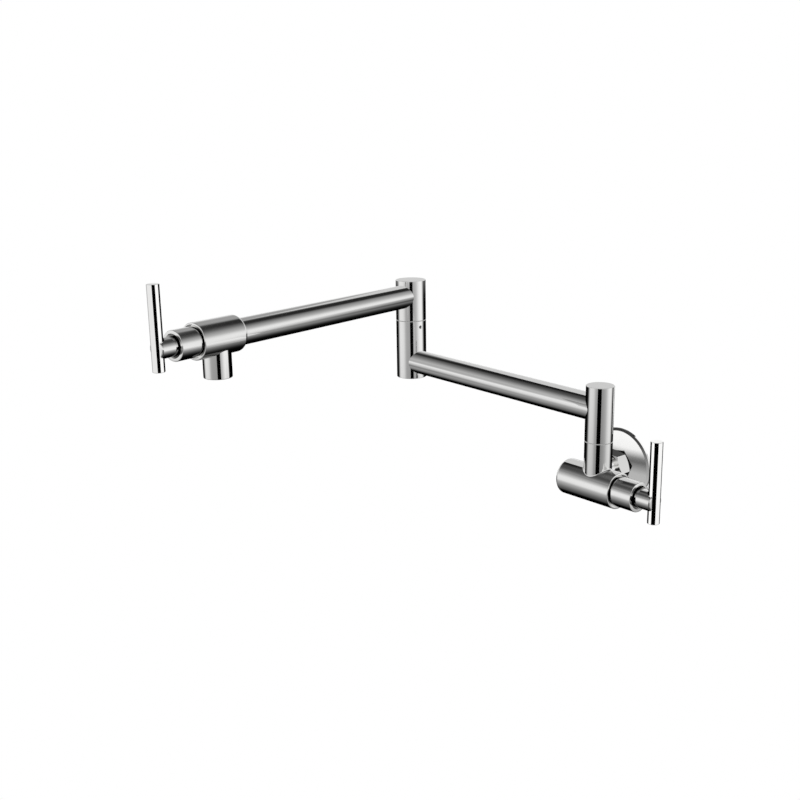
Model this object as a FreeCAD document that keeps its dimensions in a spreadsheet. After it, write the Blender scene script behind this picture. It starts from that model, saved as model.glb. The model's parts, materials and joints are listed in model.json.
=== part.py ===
import FreeCAD, Part
import Sketcher
import math
import os

# A wall mounted pot filler with two swinging arms and a quarter-turn valve at each end.
#
# The origin is on the wall, at the centre of the flange's back. +Z is up, -Y points into
# the room and +X runs along the wall, past the inlet handle. Lengths are in millimetres.
#
# Every piece is drawn in the frame of the sub-assembly that carries it:
#   wall frame        Y out of the wall through the inlet
#   inlet frame       X along the inlet valve, Z up the riser
#   lower arm frame   Z up the riser, X along the lower arm
#   upper arm frame   Z up the elbow post, X along the upper arm
#   outlet frame      X along the outlet valve, Z up the spout

doc = FreeCAD.newDocument("pot_filler")
sheet = doc.addObject("Spreadsheet::Sheet", "sizes")


# ---------------------------------------------------------------------------------------
# Sizes
# ---------------------------------------------------------------------------------------

class Size:
    """A length or angle, known by its number and by the sheet formula that gives it."""

    def __init__(self, value, formula):
        self.value = float(value)
        self.formula = formula

    def __add__(self, other):
        other = as_size(other)
        return Size(self.value + other.value, "(%s + %s)" % (self.formula, other.formula))

    def __radd__(self, other):
        return as_size(other) + self

    def __sub__(self, other):
        other = as_size(other)
        return Size(self.value - other.value, "(%s - %s)" % (self.formula, other.formula))

    def __rsub__(self, other):
        return as_size(other) - self

    def __mul__(self, factor):
        return Size(self.value * factor, "(%s * %r)" % (self.formula, factor))

    def __rmul__(self, factor):
        return self * factor

    def __truediv__(self, divisor):
        return Size(self.value / divisor, "(%s / %r)" % (self.formula, divisor))

    def __neg__(self):
        return Size(-self.value, "(0 - %s)" % self.formula)


def as_size(number):
    """A plain number as a Size, and a Size as it is."""
    return number if isinstance(number, Size) else Size(number, repr(number))


def dimension(alias, value):
    """Write one driving dimension in the next row of the sheet."""
    row = dimension.rows + 1
    dimension.rows = row
    sheet.set("A%d" % row, alias)
    sheet.set("B%d" % row, str(value))
    sheet.setAlias("B%d" % row, alias)
    return Size(value, "sizes." + alias)


dimension.rows = 0

# Where the pieces stand
valve_standoff = dimension("valve_standoff", 61)
riser_offset = dimension("riser_offset", 23.6)
lower_arm_bearing = dimension("lower_arm_bearing", 178)
lower_arm_length = dimension("lower_arm_length", 264)
lower_arm_height = dimension("lower_arm_height", 69.5)
upper_arm_bearing = dimension("upper_arm_bearing", 281.3)
upper_arm_length = dimension("upper_arm_length", 269)
upper_arm_height = dimension("upper_arm_height", 138.6)

# Arm tubes
tube_diameter = dimension("tube_diameter", 24)
tube_wall = dimension("tube_wall", 1.5)
tenon_reach = dimension("tenon_reach", 8)
tenon_bore = dimension("tenon_bore", 15)
braze_gap = dimension("braze_gap", 0.05)

# Riser and elbow post
riser_diameter = dimension("riser_diameter", 24.8)
riser_seam_height = dimension("riser_seam_height", 40.6)
riser_top_height = dimension("riser_top_height", 90.7)
elbow_diameter = dimension("elbow_diameter", 31.2)
elbow_foot_height = dimension("elbow_foot_height", 52.4)
elbow_seam_height = dimension("elbow_seam_height", 113.3)
elbow_top_height = dimension("elbow_top_height", 155.2)
post_edge_bevel = dimension("post_edge_bevel", 0.5)
post_end_wall = dimension("post_end_wall", 5)

# Swivels: a grooved spigot turns in the bore of the barrel that it plugs into
slide_washer_thickness = dimension("slide_washer_thickness", 0.8)
slide_washer_inset = dimension("slide_washer_inset", 0.25)
slide_gap = dimension("slide_gap", 0.05)
spigot_diameter = dimension("spigot_diameter", 18)
spigot_bore = dimension("spigot_bore", 11)
spigot_running_gap = dimension("spigot_running_gap", 0.05)
spigot_reach = dimension("spigot_reach", 18.6)
spigot_thread_diameter = dimension("spigot_thread_diameter", 20)
spigot_thread_length = dimension("spigot_thread_length", 9)
retaining_groove_place = dimension("retaining_groove_place", 6.4)
retaining_groove_width = dimension("retaining_groove_width", 3.6)
retaining_groove_depth = dimension("retaining_groove_depth", 1.2)
set_screw_diameter = dimension("set_screw_diameter", 3)
set_screw_recess = dimension("set_screw_recess", 1.2)
set_screw_entry = dimension("set_screw_entry", 0.7)
set_screw_key = dimension("set_screw_key", 1.5)
set_screw_key_depth = dimension("set_screw_key_depth", 1.2)
thread_gap = dimension("thread_gap", 0.05)
seal_section = dimension("seal_section", 2.4)
seal_first_place = dimension("seal_first_place", 11)
seal_pitch = dimension("seal_pitch", 4.4)
seal_side_gap = dimension("seal_side_gap", 0.2)

# Valve bodies
body_diameter = dimension("body_diameter", 32.5)
body_wall = dimension("body_wall", 4)
inlet_body_tail = dimension("inlet_body_tail", 35.5)
inlet_body_front = dimension("inlet_body_front", 24.4)
inlet_tail_round = dimension("inlet_tail_round", 3)
outlet_body_tail = dimension("outlet_body_tail", 23.5)
outlet_body_front = dimension("outlet_body_front", 25.1)
outlet_tail_round = dimension("outlet_tail_round", 3.6)
tube_socket_depth = dimension("tube_socket_depth", 10)
body_rim_bevel = dimension("body_rim_bevel", 0.7)
collar_recess_gap = dimension("collar_recess_gap", 1.5)
collar_recess_depth = dimension("collar_recess_depth", 3)
riser_root_round = dimension("riser_root_round", 1.6)
riser_bore = dimension("riser_bore", 12)

# Quarter-turn cartridge, measured back from the front rim of its valve body
cartridge_thread_diameter = dimension("cartridge_thread_diameter", 20.8)
cartridge_thread_length = dimension("cartridge_thread_length", 11)
cartridge_diameter = dimension("cartridge_diameter", 18.6)
cartridge_gap = dimension("cartridge_gap", 0.2)
cartridge_depth = dimension("cartridge_depth", 36)
cartridge_bore = dimension("cartridge_bore", 15.2)
water_chamber_bore = dimension("water_chamber_bore", 12)
seat_seal_thickness = dimension("seat_seal_thickness", 1)
disc_thickness = dimension("disc_thickness", 3)
disc_gap = dimension("disc_gap", 0.05)
disc_side_gap = dimension("disc_side_gap", 0.1)
disc_port_inner = dimension("disc_port_inner", 2.2)
disc_port_outer = dimension("disc_port_outer", 5.8)
disc_port_angle = dimension("disc_port_angle", 70)
drive_slot_width = dimension("drive_slot_width", 3)
drive_slot_depth = dimension("drive_slot_depth", 1.5)
drive_slot_length = dimension("drive_slot_length", 7)
window_width = dimension("window_width", 9)
window_length = dimension("window_length", 7)
window_front = dimension("window_front", 21)
housing_step = dimension("housing_step", 19)
housing_flange_diameter = dimension("housing_flange_diameter", 22.8)
housing_flange_thickness = dimension("housing_flange_thickness", 2.4)
housing_neck_diameter = dimension("housing_neck_diameter", 19)
housing_neck_reach = dimension("housing_neck_reach", 10)

# Stem
stem_diameter = dimension("stem_diameter", 8)
stem_running_gap = dimension("stem_running_gap", 0.05)
stem_shoulder_diameter = dimension("stem_shoulder_diameter", 11)
stem_shoulder_length = dimension("stem_shoulder_length", 1.5)
stem_seal_section = dimension("stem_seal_section", 1.3)
stem_seal_place = dimension("stem_seal_place", 14)
stem_seal_pitch = dimension("stem_seal_pitch", 4)
clip_thickness = dimension("clip_thickness", 0.8)
clip_diameter = dimension("clip_diameter", 11)
clip_groove_diameter = dimension("clip_groove_diameter", 6.4)
clip_jaw_opening = dimension("clip_jaw_opening", 4.8)
stem_grip_diameter = dimension("stem_grip_diameter", 7)
stem_grip_reach = dimension("stem_grip_reach", 28)
stem_flat_depth = dimension("stem_flat_depth", 0.5)

# Collar
collar_diameter = dimension("collar_diameter", 26.6)
collar_reach = dimension("collar_reach", 21.9)
collar_seat_gap = dimension("collar_seat_gap", 0.3)
collar_web_thickness = dimension("collar_web_thickness", 2.4)
collar_web_bore = dimension("collar_web_bore", 12)
collar_mouth_diameter = dimension("collar_mouth_diameter", 21)
collar_rim_bevel = dimension("collar_rim_bevel", 0.7)

# T-bar handle
hub_diameter = dimension("hub_diameter", 17.3)
hub_rear_place = dimension("hub_rear_place", 15)
hub_nose_reach = dimension("hub_nose_reach", 1.4)
hub_nose_round = dimension("hub_nose_round", 1.8)
bar_place = dimension("bar_place", 37.7)
bar_diameter = dimension("bar_diameter", 10.6)
bar_above = dimension("bar_above", 53.6)
bar_below = dimension("bar_below", 18.9)
bar_edge_bevel = dimension("bar_edge_bevel", 0.5)
saddle_gap = dimension("saddle_gap", 0.03)
bar_screw_diameter = dimension("bar_screw_diameter", 4)
bar_screw_head = dimension("bar_screw_head", 6.4)
bar_screw_head_length = dimension("bar_screw_head_length", 2.2)
bar_screw_web = dimension("bar_screw_web", 1.4)
bar_screw_bite = dimension("bar_screw_bite", 5.6)
hub_screw_diameter = dimension("hub_screw_diameter", 4)
hub_screw_place = dimension("hub_screw_place", 24.6)
hub_screw_recess = dimension("hub_screw_recess", 0.6)

# Spout and aerator
spout_diameter = dimension("spout_diameter", 25.2)
spout_length = dimension("spout_length", 35.2)
spout_edge_bevel = dimension("spout_edge_bevel", 0.6)
aerator_diameter = dimension("aerator_diameter", 21.6)
aerator_wall = dimension("aerator_wall", 1.6)
aerator_height = dimension("aerator_height", 9)
aerator_recess = dimension("aerator_recess", 0.8)
aerator_washer_thickness = dimension("aerator_washer_thickness", 1.6)
insert_height = dimension("insert_height", 6)
insert_lip = dimension("insert_lip", 1)
insert_hole_diameter = dimension("insert_hole_diameter", 2.2)
insert_ring_radius = dimension("insert_ring_radius", 5.4)
insert_hole_count = dimension("insert_hole_count", 8)

# Wall connection, measured out from the wall
flange_diameter = dimension("flange_diameter", 70)
flange_rim_height = dimension("flange_rim_height", 3.6)
flange_face_height = dimension("flange_face_height", 4.8)
flange_sheet = dimension("flange_sheet", 1.4)
flange_edge_round = dimension("flange_edge_round", 1)
flange_bore_gap = dimension("flange_bore_gap", 0.3)
gasket_bore = dimension("gasket_bore", 34)
gasket_side_gap = dimension("gasket_side_gap", 0.3)
nipple_diameter = dimension("nipple_diameter", 20.4)
nipple_tail_diameter = dimension("nipple_tail_diameter", 20.9)
nipple_tail_start = dimension("nipple_tail_start", 2)
nipple_bore = dimension("nipple_bore", 14)
nipple_tail = dimension("nipple_tail", 15)
nipple_reach = dimension("nipple_reach", 12.6)
nipple_lead = dimension("nipple_lead", 0.8)
nut_across_flats = dimension("nut_across_flats", 28)
nut_lip_thickness = dimension("nut_lip_thickness", 2)
nut_lip_gap = dimension("nut_lip_gap", 0.3)
nut_vertex_angle = dimension("nut_vertex_angle", 52.1)
nut_bevel_drop = dimension("nut_bevel_drop", 1.6)
nut_bevel_reach = dimension("nut_bevel_reach", 2.8)
washer_thickness = dimension("washer_thickness", 1.5)
tail_lip_diameter = dimension("tail_lip_diameter", 19.6)
tail_lip_thickness = dimension("tail_lip_thickness", 2)
tail_diameter = dimension("tail_diameter", 16)
tail_bore = dimension("tail_bore", 11)
tail_thread_length = dimension("tail_thread_length", 9)
boss_diameter = dimension("boss_diameter", 21)
boss_reach = dimension("boss_reach", 34)

doc.recompute()


# ---------------------------------------------------------------------------------------
# Frames of the sub-assemblies
# ---------------------------------------------------------------------------------------

def placement_formula(x, y, z, bearing):
    """The formula of a placement at x, y, z turned by a bearing about Z."""
    parts = tuple(as_size(value).formula for value in (x, y, z, bearing))
    return (
        "create(<<placement>>; create(<<vector>>; %s; %s; %s); "
        "create(<<rotation>>; create(<<vector>>; 0; 0; 1); %s))" % parts
    )


def add_frame(name, base, x, y, z, bearing):
    """A frame at x, y, z of another frame, turned by a bearing about Z."""
    frame = doc.addObject("App::Placement", name)
    formula = placement_formula(x, y, z, bearing)
    if base:
        formula = "%s.Placement * %s" % (base, formula)
    frame.setExpression("Placement", formula)
    return name


wall = add_frame("wall_frame", None, 0, 0, 0, 0)
inlet = add_frame("inlet_frame", None, riser_offset, -valve_standoff, 0, 0)
lower_arm = add_frame("lower_arm_frame", inlet, 0, 0, 0, lower_arm_bearing)
upper_arm = add_frame(
    "upper_arm_frame", lower_arm, lower_arm_length, 0, 0, upper_arm_bearing - lower_arm_bearing
)
outlet = add_frame("outlet_frame", upper_arm, upper_arm_length, 0, upper_arm_height, 0)


# ---------------------------------------------------------------------------------------
# Ways of making a piece
# ---------------------------------------------------------------------------------------

pieces = []

# Two places this near are the same one.
SAME_PLACE = 0.01

# The plane to draw on and the sketch's own axis to turn about, for each turning axis.
DRAWING = {"X": ("XZ_Plane", "H_Axis"), "Y": ("YZ_Plane", "H_Axis"), "Z": ("XZ_Plane", "V_Axis")}


def new_piece(name, frame):
    """An empty body that stands in a frame and becomes a piece of the pot filler."""
    body = doc.addObject("PartDesign::Body", name)
    body.setExpression("Placement", frame + ".Placement")
    pieces.append(body)
    return body


def attach(body, feature, plane, shift):
    """Lay a feature on one of its body's planes, shifted along the plane and off it."""
    origin = [item for item in body.Origin.OriginFeatures if item.Role == plane][0]
    feature.AttachmentSupport = (origin, [""])
    feature.MapMode = "FlatFace"
    for direction, size in zip("xyz", shift):
        if as_size(size).value:
            feature.setExpression("AttachmentOffset.Base." + direction, as_size(size).formula)


def drive(sketch, kind, part, point, size, name):
    """Hold one coordinate of a point at a size, or on an axis when the size is nought."""
    if isinstance(size, (int, float)) and size == 0:
        axis = -2 if kind == "DistanceX" else -1
        sketch.addConstraint(Sketcher.Constraint("PointOnObject", part, point, axis))
        return
    size = as_size(size)
    held = Sketcher.Constraint(kind, -1, 1, part, point, size.value)
    sketch.renameConstraint(sketch.addConstraint(held), name)
    sketch.setExpression("Constraints." + name, size.formula)


def outline_sketch(body, name, plane, corners, shift=(0, 0, 0)):
    """A closed outline through corners (x, y), each held by its own two sizes."""
    sketch = body.newObject("Sketcher::SketchObject", name)
    attach(body, sketch, plane, shift)
    points = [
        FreeCAD.Vector(as_size(across).value, as_size(up).value, 0) for across, up in corners
    ]
    count = len(points)
    for index in range(count):
        sketch.addGeometry(Part.LineSegment(points[index], points[(index + 1) % count]), False)
    for index in range(count):
        sketch.addConstraint(Sketcher.Constraint("Coincident", index, 2, (index + 1) % count, 1))
    for index, (across, up) in enumerate(corners):
        drive(sketch, "DistanceX", index, 1, across, "across_%d" % index)
        drive(sketch, "DistanceY", index, 1, up, "up_%d" % index)
    return sketch


def turn(body, name, axis, corners, cut=False, shift=(0, 0, 0)):
    """Add or cut a form turned about an axis; a corner is (place along, radius)."""
    plane, sketch_axis = DRAWING[axis]
    if axis == "Z":
        corners = [(radius, along) for along, radius in corners]
    sketch = outline_sketch(body, name + "_outline", plane, corners, shift)
    kind = "PartDesign::Groove" if cut else "PartDesign::Revolution"
    turned = body.newObject(kind, name)
    turned.Profile = sketch
    turned.ReferenceAxis = (sketch, [sketch_axis])
    turned.Angle = 360
    return turned


def rod(body, name, axis, start, end, radius, cut=False, shift=(0, 0, 0)):
    """Add or cut a plain round form from start to end."""
    corners = [(start, 0), (start, radius), (end, radius), (end, 0)]
    return turn(body, name, axis, corners, cut, shift)


def ring(body, name, axis, start, end, inner, outer, cut=False, shift=(0, 0, 0)):
    """Add or cut a plain ring from start to end."""
    corners = [(start, inner), (start, outer), (end, outer), (end, inner)]
    return turn(body, name, axis, corners, cut, shift)


def circle_sketch(body, name, plane, across, up, radius, shift=(0, 0, 0)):
    """One circle, its centre and radius held by sizes."""
    sketch = body.newObject("Sketcher::SketchObject", name)
    attach(body, sketch, plane, shift)
    centre = FreeCAD.Vector(as_size(across).value, as_size(up).value, 0)
    radius = as_size(radius)
    sketch.addGeometry(Part.Circle(centre, FreeCAD.Vector(0, 0, 1), radius.value), False)
    held = Sketcher.Constraint("Radius", 0, radius.value)
    sketch.renameConstraint(sketch.addConstraint(held), "radius")
    sketch.setExpression("Constraints.radius", radius.formula)
    drive(sketch, "DistanceX", 0, 3, across, "across")
    drive(sketch, "DistanceY", 0, 3, up, "up")
    return sketch


def port_sketch(body, name, shift, facing):
    """The outline of one fan-shaped water port of a ceramic disc, facing an angle."""
    sketch = body.newObject("Sketcher::SketchObject", name)
    attach(body, sketch, "YZ_Plane", shift)
    low = math.radians(facing - disc_port_angle.value / 2)
    high = math.radians(facing + disc_port_angle.value / 2)
    centre = FreeCAD.Vector(0, 0, 0)
    normal = FreeCAD.Vector(0, 0, 1)

    def at(radius, angle):
        return FreeCAD.Vector(radius * math.cos(angle), radius * math.sin(angle), 0)

    inner, outer = disc_port_inner.value, disc_port_outer.value
    sketch.addGeometry(Part.ArcOfCircle(Part.Circle(centre, normal, outer), low, high), False)
    sketch.addGeometry(Part.ArcOfCircle(Part.Circle(centre, normal, inner), low, high), False)
    sketch.addGeometry(Part.LineSegment(at(inner, low), at(outer, low)), False)
    sketch.addGeometry(Part.LineSegment(at(inner, high), at(outer, high)), False)
    for pair in ((2, 1, 1, 1), (2, 2, 0, 1), (3, 1, 1, 2), (3, 2, 0, 2)):
        sketch.addConstraint(Sketcher.Constraint("Coincident", *pair))
    for arc, size, label in ((0, disc_port_outer, "outer"), (1, disc_port_inner, "inner")):
        sketch.addConstraint(Sketcher.Constraint("Coincident", arc, 3, -1, 1))
        held = Sketcher.Constraint("Radius", arc, size.value)
        sketch.renameConstraint(sketch.addConstraint(held), label)
        sketch.setExpression("Constraints." + label, size.formula)
    for line, angle, label in (
        (2, facing - disc_port_angle / 2, "low"), (3, facing + disc_port_angle / 2, "high")
    ):
        sketch.addConstraint(Sketcher.Constraint("PointOnObject", -1, 1, line))
        held = Sketcher.Constraint("Angle", line, math.radians(angle.value))
        sketch.renameConstraint(sketch.addConstraint(held), label)
        sketch.setExpression("Constraints." + label, angle.formula + " * 1 deg")
    return sketch


def cut_through(body, name, sketch):
    """Cut a sketch's shape through the piece, to both sides of its plane."""
    pocket = body.newObject("PartDesign::Pocket", name)
    pocket.Profile = sketch
    pocket.Type = "ThroughAll"
    pocket.Midplane = True
    return pocket


def block(body, name, plane, corners, shift, length, cut=False):
    """Add or cut a straight-sided outline, half its length to each side of its plane."""
    sketch = outline_sketch(body, name + "_outline", plane, corners, shift)
    feature = body.newObject("PartDesign::Pocket" if cut else "PartDesign::Pad", name)
    feature.Profile = sketch
    feature.Midplane = True
    feature.setExpression("Length", as_size(length).formula)
    return feature


def oblong(half_across, half_up):
    """The corners of an oblong about the origin."""
    return [
        (-half_across, -half_up), (half_across, -half_up),
        (half_across, half_up), (-half_across, half_up),
    ]


def drill_down(body, name, across, radius, depth):
    """Drill from the piece's own middle plane straight down."""
    pocket = body.newObject("PartDesign::Pocket", name)
    pocket.Profile = circle_sketch(body, name + "_circle", "XY_Plane", across, 0, radius)
    pocket.setExpression("Length", as_size(depth).formula)
    return pocket


def hexagon(body, name, plane, shift, length, across_flats, angle=0, cut=False):
    """Add or cut a hexagonal prism that starts at a shift and runs off the plane."""
    kind = "PartDesign::SubtractivePrism" if cut else "PartDesign::AdditivePrism"
    prism = body.newObject(kind, name)
    prism.Polygon = 6
    attach(body, prism, plane, shift)
    if angle:
        prism.setExpression("AttachmentOffset.Rotation.Angle", angle.formula)
    prism.setExpression("Circumradius", "%s / sqrt(3)" % as_size(across_flats).formula)
    prism.setExpression("Height", as_size(length).formula)
    return prism


def soften(body, name, wanted, size, kind="PartDesign::Fillet"):
    """Round, or bevel, those edges of a body so far for which wanted(edge) is true."""
    doc.recompute()
    base = body.Tip
    edges = base.Shape.Edges
    chosen = ["Edge%d" % (index + 1) for index, edge in enumerate(edges) if wanted(edge)]
    if not chosen:
        raise RuntimeError("no edge found for " + name)
    feature = body.newObject(kind, name)
    feature.Base = (base, chosen)
    feature.setExpression("Radius" if kind.endswith("Fillet") else "Size", size.formula)
    return feature


def bevel(body, name, wanted, size):
    return soften(body, name, wanted, size, "PartDesign::Chamfer")


def rim(axis, places, radius):
    """A test for the round edges of one radius at any of several places along an axis."""
    index = "XYZ".index(axis)

    def wanted(edge):
        curve = edge.Curve
        if not isinstance(curve, Part.Circle) or abs(curve.Radius - radius.value) > SAME_PLACE:
            return False
        distances = [abs(curve.Center[index] - as_size(place).value) for place in places]
        return min(distances) < SAME_PLACE

    return wanted


def riser_root(radius, height):
    """A test for the curved edge where a riser of one radius leaves its barrel."""
    def wanted(edge):
        low, high = edge.ParameterRange
        for share in (0, 0.5, 1):
            point = edge.valueAt(low + (high - low) * share)
            if abs(math.hypot(point.x, point.y) - radius.value) > SAME_PLACE:
                return False
            if not SAME_PLACE < point.z < height.value - SAME_PLACE:
                return False
        return not isinstance(edge.Curve, Part.Line)

    return wanted


def seal_rings(name, frame, axis, places, mean_radius, section):
    """A set of like O-rings at several places along an axis of a frame."""
    rings = []
    for index, place in enumerate(places):
        seal = doc.addObject("Part::Torus", "%s_%d" % (name, index + 1))
        seal.setExpression("Radius1", mean_radius.formula)
        seal.setExpression("Radius2", (section / 2).formula)
        x, z, angle = (place.formula, "0", 90) if axis == "X" else ("0", place.formula, 0)
        seal.setExpression(
            "Placement",
            "%s.Placement * create(<<placement>>; create(<<vector>>; %s; 0; %s); "
            "create(<<rotation>>; create(<<vector>>; 0; 1; 0); %d))" % (frame, x, z, angle),
        )
        rings.append(seal)
    group = doc.addObject("Part::Compound", name)
    group.Links = rings
    pieces.append(group)


# ---------------------------------------------------------------------------------------
# Wall connection, turned about Y, with its places measured out of the wall
# ---------------------------------------------------------------------------------------

tail_lip_back = nipple_reach + washer_thickness
tail_lip_front = tail_lip_back + tail_lip_thickness
nut_front = tail_lip_front + nut_lip_thickness
tail_end = valve_standoff - boss_reach + tail_thread_length


def make_wall_flange():
    """A spun cover plate: a shallow cone with a rolled rim, open behind."""
    body = new_piece("wall_flange", wall)
    rim_radius = flange_diameter / 2
    bore = nipple_diameter / 2 + flange_bore_gap
    turn(body, "shell", "Y", [
        (flange_sheet - flange_face_height, bore),
        (-flange_face_height, bore),
        (-flange_rim_height, rim_radius),
        (0, rim_radius),
        (0, rim_radius - flange_sheet),
        (flange_sheet - flange_rim_height, rim_radius - flange_sheet),
    ])
    soften(body, "rolled_rim", rim("Y", [-flange_rim_height], rim_radius), flange_edge_round)


def make_flange_gasket():
    body = new_piece("flange_gasket", wall)
    outer = flange_diameter / 2 - flange_sheet - gasket_side_gap
    ring(body, "foam", "Y", 0, flange_sheet - flange_rim_height, gasket_bore / 2, outer)


def make_inlet_nipple():
    """The threaded tube that stands out of the fitting in the wall."""
    body = new_piece("inlet_nipple", wall)
    radius = nipple_diameter / 2
    tail_radius = nipple_tail_diameter / 2
    ring(body, "tube", "Y", nipple_tail, -nipple_reach, nipple_bore / 2, radius)
    ring(body, "wall_thread", "Y", nipple_tail, -nipple_tail_start, nipple_bore / 2, tail_radius)
    bevel(body, "union_lead", rim("Y", [-nipple_reach], radius), nipple_lead)
    bevel(body, "wall_lead", rim("Y", [nipple_tail], tail_radius), nipple_lead)


def make_union_washer():
    body = new_piece("union_washer", wall)
    ring(body, "fibre", "Y", -nipple_reach, -tail_lip_back, nipple_bore / 2, tail_lip_diameter / 2)


def make_inlet_tailpiece():
    """The lipped tube that the nut draws onto the nipple; its far end is in the valve."""
    body = new_piece("inlet_tailpiece", wall)
    turn(body, "tube", "Y", [
        (-tail_lip_back, tail_bore / 2),
        (-tail_lip_back, tail_lip_diameter / 2),
        (-tail_lip_front, tail_lip_diameter / 2),
        (-tail_lip_front, tail_diameter / 2),
        (-tail_end, tail_diameter / 2),
        (-tail_end, tail_bore / 2),
    ])


def make_union_nut():
    """A hexagon nut with bevelled corners, threaded behind and lipped in front."""
    body = new_piece("union_nut", wall)
    hexagon(
        body, "hexagon", "XZ_Plane", (0, 0, flange_face_height),
        nut_front - flange_face_height, nut_across_flats, nut_vertex_angle,
    )
    flat_radius = nut_across_flats / 2
    past_corner = flat_radius + nut_bevel_reach
    for name, end, drop in (
        ("back_bevel", -flange_face_height, -nut_bevel_drop),
        ("front_bevel", -nut_front, nut_bevel_drop),
    ):
        corners = [(end, flat_radius), (end, past_corner), (end + drop, past_corner)]
        turn(body, name, "Y", corners, cut=True)
    thread = nipple_diameter / 2 + thread_gap
    rod(body, "thread", "Y", -flange_face_height, -tail_lip_front, thread, cut=True)
    lip = tail_diameter / 2 + nut_lip_gap
    rod(body, "lip_bore", "Y", -tail_lip_front, -nut_front, lip, cut=True)


# ---------------------------------------------------------------------------------------
# Swivels: a spigot screwed into one post end, turning in the other
# ---------------------------------------------------------------------------------------

def lower_face(seam):
    """The top of the post end under a seam, where the slide washer lies."""
    return seam - slide_washer_thickness / 2


def upper_face(seam):
    """The bottom of the post end over a seam."""
    return seam + slide_washer_thickness / 2 + slide_gap


spigot_radius = spigot_diameter / 2
running_radius = spigot_radius + spigot_running_gap
spigot_socket_radius = spigot_thread_diameter / 2 + thread_gap


def make_spigot(name, frame, seam, root, way):
    """The grooved spigot: thread at its root, then retaining groove and two seal grooves."""
    body = new_piece(name, frame)
    turn(body, "spigot", "Z", [
        (root - way * spigot_thread_length, spigot_bore / 2),
        (root - way * spigot_thread_length, spigot_thread_diameter / 2),
        (root, spigot_thread_diameter / 2),
        (root, spigot_radius),
        (seam + way * spigot_reach, spigot_radius),
        (seam + way * spigot_reach, spigot_bore / 2),
    ])
    place = seam + way * retaining_groove_place
    half = retaining_groove_width / 2
    floor = spigot_radius - retaining_groove_depth
    ring(body, "retaining_groove", "Z", place - half, place + half, floor, spigot_radius, cut=True)
    half = seal_section / 2 + seal_side_gap
    places = [seam + way * seal_first_place, seam + way * (seal_first_place + seal_pitch)]
    for index, place in enumerate(places):
        groove = "seal_groove_%d" % (index + 1)
        ring(body, groove, "Z", place - half, place + half,
             spigot_radius - seal_section, spigot_radius, cut=True)
    mean = spigot_radius - seal_section / 2
    seal_rings(name + "_seals", frame, "Z", places, mean, seal_section)


def make_slide_washer(name, frame, seam, post_radius):
    """The thin washer between two post ends, which shows as the seam line."""
    body = new_piece(name, frame)
    bottom = lower_face(seam)
    ring(body, "washer", "Z", bottom, bottom + slide_washer_thickness,
         running_radius, post_radius - slide_washer_inset)


def set_screw_hole(body, height, post_radius, side):
    """The radial threaded hole of the retaining screw, on the +X or -X side of a post."""
    start = side * (spigot_radius - set_screw_entry)
    end = side * (post_radius + set_screw_diameter)
    radius = set_screw_diameter / 2 + thread_gap
    rod(body, "set_screw_hole", "X", start, end, radius, cut=True, shift=(0, height, 0))


def make_set_screw(name, frame, height, post_radius, side):
    """The headless screw whose tip stands in the spigot's retaining groove."""
    body = new_piece(name, frame)
    mouth = side * (post_radius - set_screw_recess)
    tip = side * (spigot_radius - set_screw_entry)
    rod(body, "screw", "X", mouth, tip, set_screw_diameter / 2, shift=(0, height, 0))
    start = mouth - set_screw_key_depth if side > 0 else mouth
    hexagon(body, "key_socket", "YZ_Plane", (0, height, start),
            set_screw_key_depth, set_screw_key, cut=True)


def add_tenon(body, height, post_radius, side):
    """The hollow tenon on a post that the end of an arm tube is brazed over."""
    tenon = tube_diameter / 2 - tube_wall - braze_gap
    reach = side * (post_radius + tenon_reach)
    rod(body, "tenon", "X", 0, reach, tenon, shift=(0, height, 0))
    return reach


def bore_tenon(body, height, reach):
    rod(body, "tenon_bore", "X", 0, reach, tenon_bore / 2, cut=True, shift=(0, height, 0))


# ---------------------------------------------------------------------------------------
# Arms
# ---------------------------------------------------------------------------------------

riser_radius = riser_diameter / 2
elbow_radius = elbow_diameter / 2
elbow_end = add_frame("elbow_frame", lower_arm, lower_arm_length, 0, 0, 0)


def make_base_swivel_barrel():
    """The upper half of the riser: it turns on the base spigot and carries the lower arm."""
    body = new_piece("base_swivel_barrel", lower_arm)
    foot = upper_face(riser_seam_height)
    rod(body, "barrel", "Z", foot, riser_top_height, riser_radius)
    bevel(body, "top_bevel", rim("Z", [riser_top_height], riser_radius), post_edge_bevel)
    reach = add_tenon(body, lower_arm_height, riser_radius, 1)
    bore_end = riser_top_height - post_end_wall
    rod(body, "running_bore", "Z", foot, bore_end, running_radius, cut=True)
    bore_tenon(body, lower_arm_height, reach)
    height = riser_seam_height + retaining_groove_place
    set_screw_hole(body, height, riser_radius, 1)
    make_set_screw("base_set_screw", lower_arm, height, riser_radius, 1)


def make_elbow_lower_barrel():
    """The lower half of the elbow post, at the end of the lower arm."""
    body = new_piece("elbow_lower_barrel", elbow_end)
    top = lower_face(elbow_seam_height)
    rod(body, "barrel", "Z", elbow_foot_height, top, elbow_radius)
    bevel(body, "foot_bevel", rim("Z", [elbow_foot_height], elbow_radius), post_edge_bevel)
    reach = add_tenon(body, lower_arm_height, elbow_radius, -1)
    bore_end = elbow_foot_height + post_end_wall
    rod(body, "running_bore", "Z", bore_end, top, running_radius, cut=True)
    bore_tenon(body, lower_arm_height, reach)
    height = elbow_seam_height - retaining_groove_place
    set_screw_hole(body, height, elbow_radius, -1)
    make_set_screw("elbow_set_screw", elbow_end, height, elbow_radius, -1)


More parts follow.
